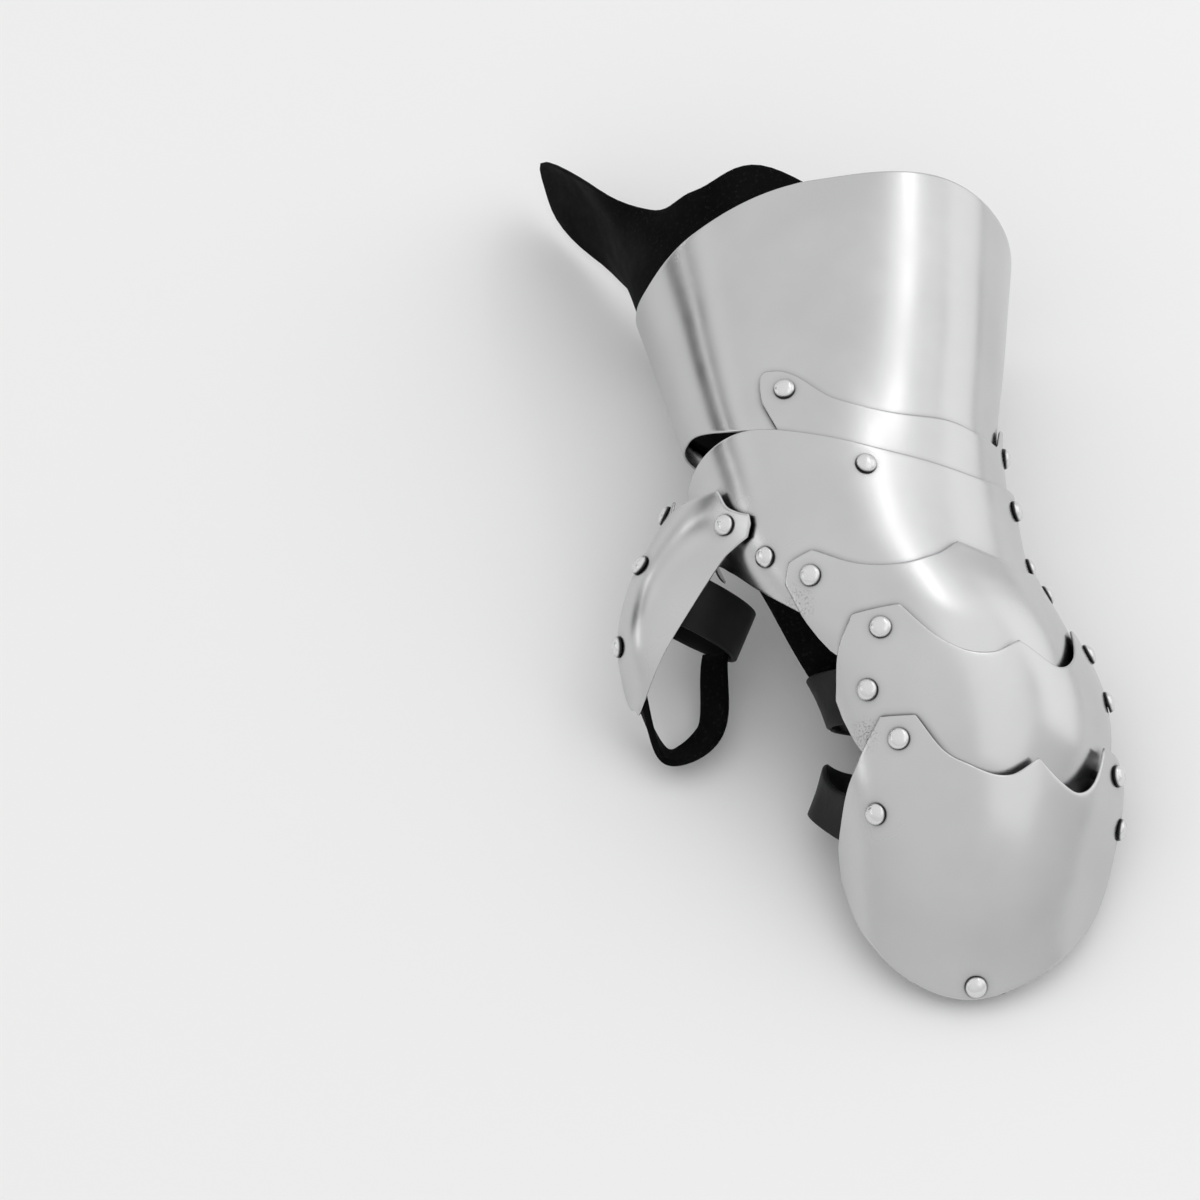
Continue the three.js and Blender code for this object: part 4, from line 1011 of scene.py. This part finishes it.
def rivet_seats(sizes):
    """Each rivet's name, place, outward direction and grip, in millimetres."""
    steel, leather, strap = [in_millimetres(size) for size in (sizes.steel, sizes.leather, sizes.strap)]
    held = {"band": LEATHER_GAP + leather, "strap": LEATHER_GAP + strap}
    seats = []
    for name, angle, station, outer, inner, slack in FORM_RIVETS:
        angle, station = single(angle, station)
        lift = plate_lift(outer, station)
        grip = steel + held[inner] + slack if inner in held else lift - plate_lift(inner, station) + steel
        seats.append((name, form_point(angle, station, lift), form_normal(angle, station), float(grip)))
    for name, angle, u, inner, slack in THUMB_RIVETS:
        angle, u = single(angle, u)
        grip = steel + held.get(inner, 0.0) + slack
        if inner == "hand_plate":
            grip += EAR["gap"] + EAR["stand_off"] + steel
        seats.append((name, thumb_point(angle, u, 0.0), thumb_normal(angle, u), float(grip)))
    return seats


def rivet_tree():
    """Geometry nodes that set a domed head, a shank and a flat tail at every point."""
    tree = bpy.data.node_groups.new("rivets", "GeometryNodeTree")
    sockets = [("Geometry", "Geometry"), ("Seed", "Int"), ("Material", "Material")]
    for name in ("Head Radius", "Head Height", "Shank Radius", "Tail Radius", "Tail Height", "Hammering"):
        sockets.append((name, "Float"))
    for name, kind in sockets:
        tree.interface.new_socket(name, in_out="INPUT", socket_type="NodeSocket" + kind)
    tree.interface.new_socket("Geometry", in_out="OUTPUT", socket_type="NodeSocketGeometry")
    given = node(tree, "NodeGroupInput").outputs

    def attribute(name, kind):
        made = node(tree, "GeometryNodeInputNamedAttribute", {"Name": name}, data_type=kind)
        return made.outputs["Attribute"]

    def vector_of(x, y, z):
        return node(tree, "ShaderNodeCombineXYZ", {"X": x, "Y": y, "Z": z}).outputs["Vector"]

    def scaled(vector, factor):
        made = node(tree, "ShaderNodeVectorMath", {"Vector": vector, "Scale": factor}, operation="SCALE")
        return made.outputs["Vector"]

    def moved(shape, **where):
        return node(tree, "GeometryNodeSetPosition", {"Geometry": shape, **where}).outputs["Geometry"]

    def dome(ball):
        """The upper half of a ball, closed by a flat underside and a little fuller than a ball."""
        place = node(tree, "GeometryNodeInputPosition").outputs["Position"]
        parts = node(tree, "ShaderNodeSeparateXYZ", {"Vector": place}).outputs
        height = calculated(tree, "POWER", calculated(tree, "MAXIMUM", parts["Z"], 0.0), HEAD_FULLNESS)
        crown = node(
            tree, "GeometryNodeStoreNamedAttribute", {"Geometry": ball, "Name": "crown", "Value": height},
            data_type="FLOAT")
        return moved(crown.outputs["Geometry"], Position=vector_of(parts["X"], parts["Y"], height))

    direction = attribute("direction", "FLOAT_VECTOR")
    grip = attribute("grip", "FLOAT")
    turn = node(tree, "FunctionNodeAlignRotationToVector", {"Vector": direction}, axis="Z")

    def instances(points, shape, radius, height):
        made = node(tree, "GeometryNodeInstanceOnPoints", {
            "Points": points, "Instance": shape, "Rotation": turn.outputs["Rotation"],
            "Scale": vector_of(radius, radius, height)})
        return made.outputs["Instances"]

    points = given["Geometry"]
    ball = node(
        tree, "GeometryNodeMeshUVSphere", {"Segments": HEAD_SEGMENTS, "Rings": HEAD_RINGS, "Radius": 1.0})
    bar = node(tree, "GeometryNodeMeshCylinder", {"Vertices": SHANK_SIDES, "Radius": 1.0, "Depth": 1.0})
    sunk = node(tree, "GeometryNodeTransform", {"Geometry": bar.outputs["Mesh"], "Translation": (0, 0, -0.5)})
    sunk = sunk.outputs["Geometry"]
    inside = moved(points, Offset=scaled(direction, calculated(tree, "MULTIPLY", grip, -1.0)))
    heads = instances(points, dome(ball.outputs["Mesh"]), given["Head Radius"], given["Head Height"])
    shanks = instances(points, sunk, given["Shank Radius"], grip)
    tails = instances(inside, sunk, given["Tail Radius"], given["Tail Height"])
    joined = node(tree, "GeometryNodeJoinGeometry")
    for part in (heads, shanks, tails):
        feed(tree, joined.inputs["Geometry"], part)
    real = node(tree, "GeometryNodeRealizeInstances", {"Geometry": joined.outputs["Geometry"]})
    marks = node(
        tree, "ShaderNodeTexNoise", {"W": given["Seed"], "Scale": HAMMER_MARK_SCALE, "Detail": 1.0},
        noise_dimensions="4D")
    height = calculated(tree, "SUBTRACT", marks.outputs["Fac"], 0.5)
    depth = calculated(tree, "MULTIPLY", height, given["Hammering"])
    normal = node(tree, "GeometryNodeInputNormal").outputs["Normal"]
    hammered = moved(real.outputs["Geometry"], Offset=scaled(normal, depth))
    coated = node(tree, "GeometryNodeSetMaterial", {"Geometry": hammered, "Material": given["Material"]})
    node(tree, "NodeGroupOutput", {"Geometry": coated.outputs["Geometry"]})
    return tree


class GAUNTLET_OT_rivets(bpy.types.Operator):
    """Set all rivets, those of the wrist lame and those of the hand"""
    bl_idname = "gauntlet.rivets"
    bl_label = "Rivets"

    def execute(self, context):
        sizes, finish = context.scene.gauntlet_sizes, context.scene.gauntlet_finish
        seats = rivet_seats(sizes)
        tree = rivet_tree()
        values = {
            "Head Radius": sizes.head_radius, "Head Height": sizes.head_height,
            "Shank Radius": sizes.shank_radius, "Tail Radius": sizes.tail_radius,
            "Tail Height": sizes.tail_height, "Hammering": finish.hammering, "Seed": HAMMER_SEED,
            "Material": material_named("rivet_head_steel"),
        }
        for body in ("wrist", "hand"):
            chosen = [seat for seat in seats if (seat[0] in WRIST_RIVETS) == (body == "wrist")]
            mesh = bpy.data.meshes.new(body + "_rivet_places")
            mesh.from_pydata([((seat[1] - FLOOR_CENTRE) * MILLIMETRE).tolist() for seat in chosen], [], [])
            mesh.attributes.new("direction", "FLOAT_VECTOR", "POINT").data.foreach_set(
                "vector", np.array([seat[2] for seat in chosen]).ravel())
            mesh.attributes.new("grip", "FLOAT", "POINT").data.foreach_set(
                "value", [seat[3] * MILLIMETRE for seat in chosen])
            places = bpy.data.objects.new(body + "_rivet_places", mesh)
            context.collection.objects.link(places)
            modifier = places.modifiers.new("rivets", "NODES")
            modifier.node_group = tree
            for socket in tree.interface.items_tree:
                if socket.in_out == "INPUT" and socket.name in values:
                    modifier[socket.identifier] = values[socket.name]
            context.view_layer.update()
            made = bpy.data.meshes.new_from_object(places.evaluated_get(context.evaluated_depsgraph_get()))
            made.name = body + "_rivets"
            made.polygons.foreach_set("use_smooth", [True] * len(made.polygons))
            bpy.data.objects.remove(places)
            piece = bpy.data.objects.new(body + "_rivets", made)
            context.collection.objects.link(piece)
            hand_over(piece, body, "rivet_steel", *[seat[0] for seat in chosen])
        return {"FINISHED"}


def aimed(place, aim):
    """The turn that points an object's -Z from a place to an aim."""
    return (Vector(aim) - Vector(place)).to_track_quat("-Z", "Y").to_euler()


class GAUNTLET_OT_stage(bpy.types.Operator):
    """Make the pale floor, the soft lights and the camera"""
    bl_idname = "gauntlet.stage"
    bl_label = "Stage"

    def execute(self, context):
        finish = context.scene.gauntlet_finish
        mesh = bpy.data.meshes.new("floor")
        corners = [(x * FLOOR_HALF, y * FLOOR_HALF, 0) for x, y in ((-1, -1), (1, -1), (1, 1), (-1, 1))]
        mesh.from_pydata(corners, [], [(0, 1, 2, 3)])
        material, _, shader = new_material("pale_floor", Roughness=FLOOR_ROUGHNESS)
        shader.inputs["Base Color"].default_value = colour_of(finish.floor)
        mesh.materials.append(material)
        floor = bpy.data.objects.new("floor", mesh)
        context.collection.objects.link(floor)
        for name, facts in LIGHTS.items():
            light = bpy.data.lights.new(name, "AREA")
            light.shape = "RECTANGLE"
            light.size, light.size_y = facts["size"]
            light.energy = facts["power"]
            lamp = bpy.data.objects.new(name, light)
            lamp.location = facts["place"]
            lamp.rotation_euler = aimed(facts["place"], facts["aim"])
            context.collection.objects.link(lamp)
        world = bpy.data.worlds.new("studio")
        world.use_nodes = True
        self.glow(world.node_tree, world.node_tree.nodes["Background"])
        context.scene.world = world
        context.scene.view_settings.view_transform = "Standard"
        self.camera(context)
        return {"FINISHED"}

    def shades(self, tree, height, stops):
        """Brightness by height, along a list of stops."""
        made = node(tree, "ShaderNodeValToRGB", {"Fac": height})
        elements = made.color_ramp.elements
        for i, (place, value) in enumerate(stops):
            element = elements[i] if i < 2 else elements.new(place)
            element.position = place
            element.color = (value, value, value, 1)
        return made.outputs["Color"]

    def glow(self, tree, background):
        place = node(tree, "ShaderNodeTexCoord")
        parts = node(tree, "ShaderNodeSeparateXYZ", {"Vector": place.outputs["Generated"]}).outputs
        side = ramp(tree, parts["X"], CORNER_SIDE["begin"], CORNER_SIDE["full"])
        back = ramp(tree, parts["Y"], CORNER_BACK["begin"], CORNER_BACK["full"])
        ebb = ramp(tree, parts["Y"], CORNER_BACK["ebb"], CORNER_BACK["end"], 1.0, 0.0)
        inside = calculated(tree, "MULTIPLY", calculated(tree, "MULTIPLY", side, back), ebb)
        walls = self.shades(tree, parts["Z"], STUDIO_GLOW)
        corner = self.shades(tree, parts["Z"], CORNER_GLOW)
        feed(tree, background.inputs["Color"], mixed(tree, inside, walls, corner))

    def camera(self, context):
        lens = bpy.data.cameras.new("camera")
        lens.sensor_width = CAMERA["sensor"]
        lens.lens = CAMERA["sensor"] * CAMERA["focal_pixels"] / CAMERA["frame_pixels"]
        target = Vector((-FLOOR_CENTRE * MILLIMETRE).tolist())
        tilt = math.radians(CAMERA["elevation"])
        camera = bpy.data.objects.new("camera", lens)
        camera.location = target + CAMERA["distance"] * Vector((0, -math.cos(tilt), math.sin(tilt)))
        camera.rotation_euler = (math.radians(90 - CAMERA["elevation"]), 0, 0)
        context.collection.objects.link(camera)
        context.scene.camera = camera


OPERATORS = (
    GAUNTLET_OT_plates, GAUNTLET_OT_thumb_plate, GAUNTLET_OT_lining, GAUNTLET_OT_bands, GAUNTLET_OT_straps,
    GAUNTLET_OT_rivets, GAUNTLET_OT_stage,
)


class GAUNTLET_PT_panel(bpy.types.Panel):
    """Sidebar panel that lists the steps of the gauntlet"""
    bl_idname = "GAUNTLET_PT_panel"
    bl_label = "Gauntlet"
    bl_space_type = "VIEW_3D"
    bl_region_type = "UI"
    bl_category = "Gauntlet"

    def draw(self, context):
        for group in (context.scene.gauntlet_sizes, context.scene.gauntlet_finish):
            for name in group.bl_rna.properties.keys():
                if name not in ("rna_type", "name"):
                    self.layout.prop(group, name)
        for operator in OPERATORS:
            self.layout.operator(operator.bl_idname)


CLASSES = (GauntletSizes, GauntletFinish, *OPERATORS, GAUNTLET_PT_panel)


def register():
    for item in CLASSES:
        bpy.utils.register_class(item)
    bpy.types.Scene.gauntlet_sizes = bpy.props.PointerProperty(type=GauntletSizes)
    bpy.types.Scene.gauntlet_finish = bpy.props.PointerProperty(type=GauntletFinish)


def unregister():
    del bpy.types.Scene.gauntlet_sizes
    del bpy.types.Scene.gauntlet_finish
    for item in reversed(CLASSES):
        bpy.utils.unregister_class(item)


def main():
    register()
    bpy.ops.gauntlet.stage()
    bpy.ops.gauntlet.plates()
    bpy.ops.gauntlet.thumb_plate()
    bpy.ops.gauntlet.lining()
    bpy.ops.gauntlet.bands()
    bpy.ops.gauntlet.straps()
    bpy.ops.gauntlet.rivets()


if __name__ == "__main__":
    main()
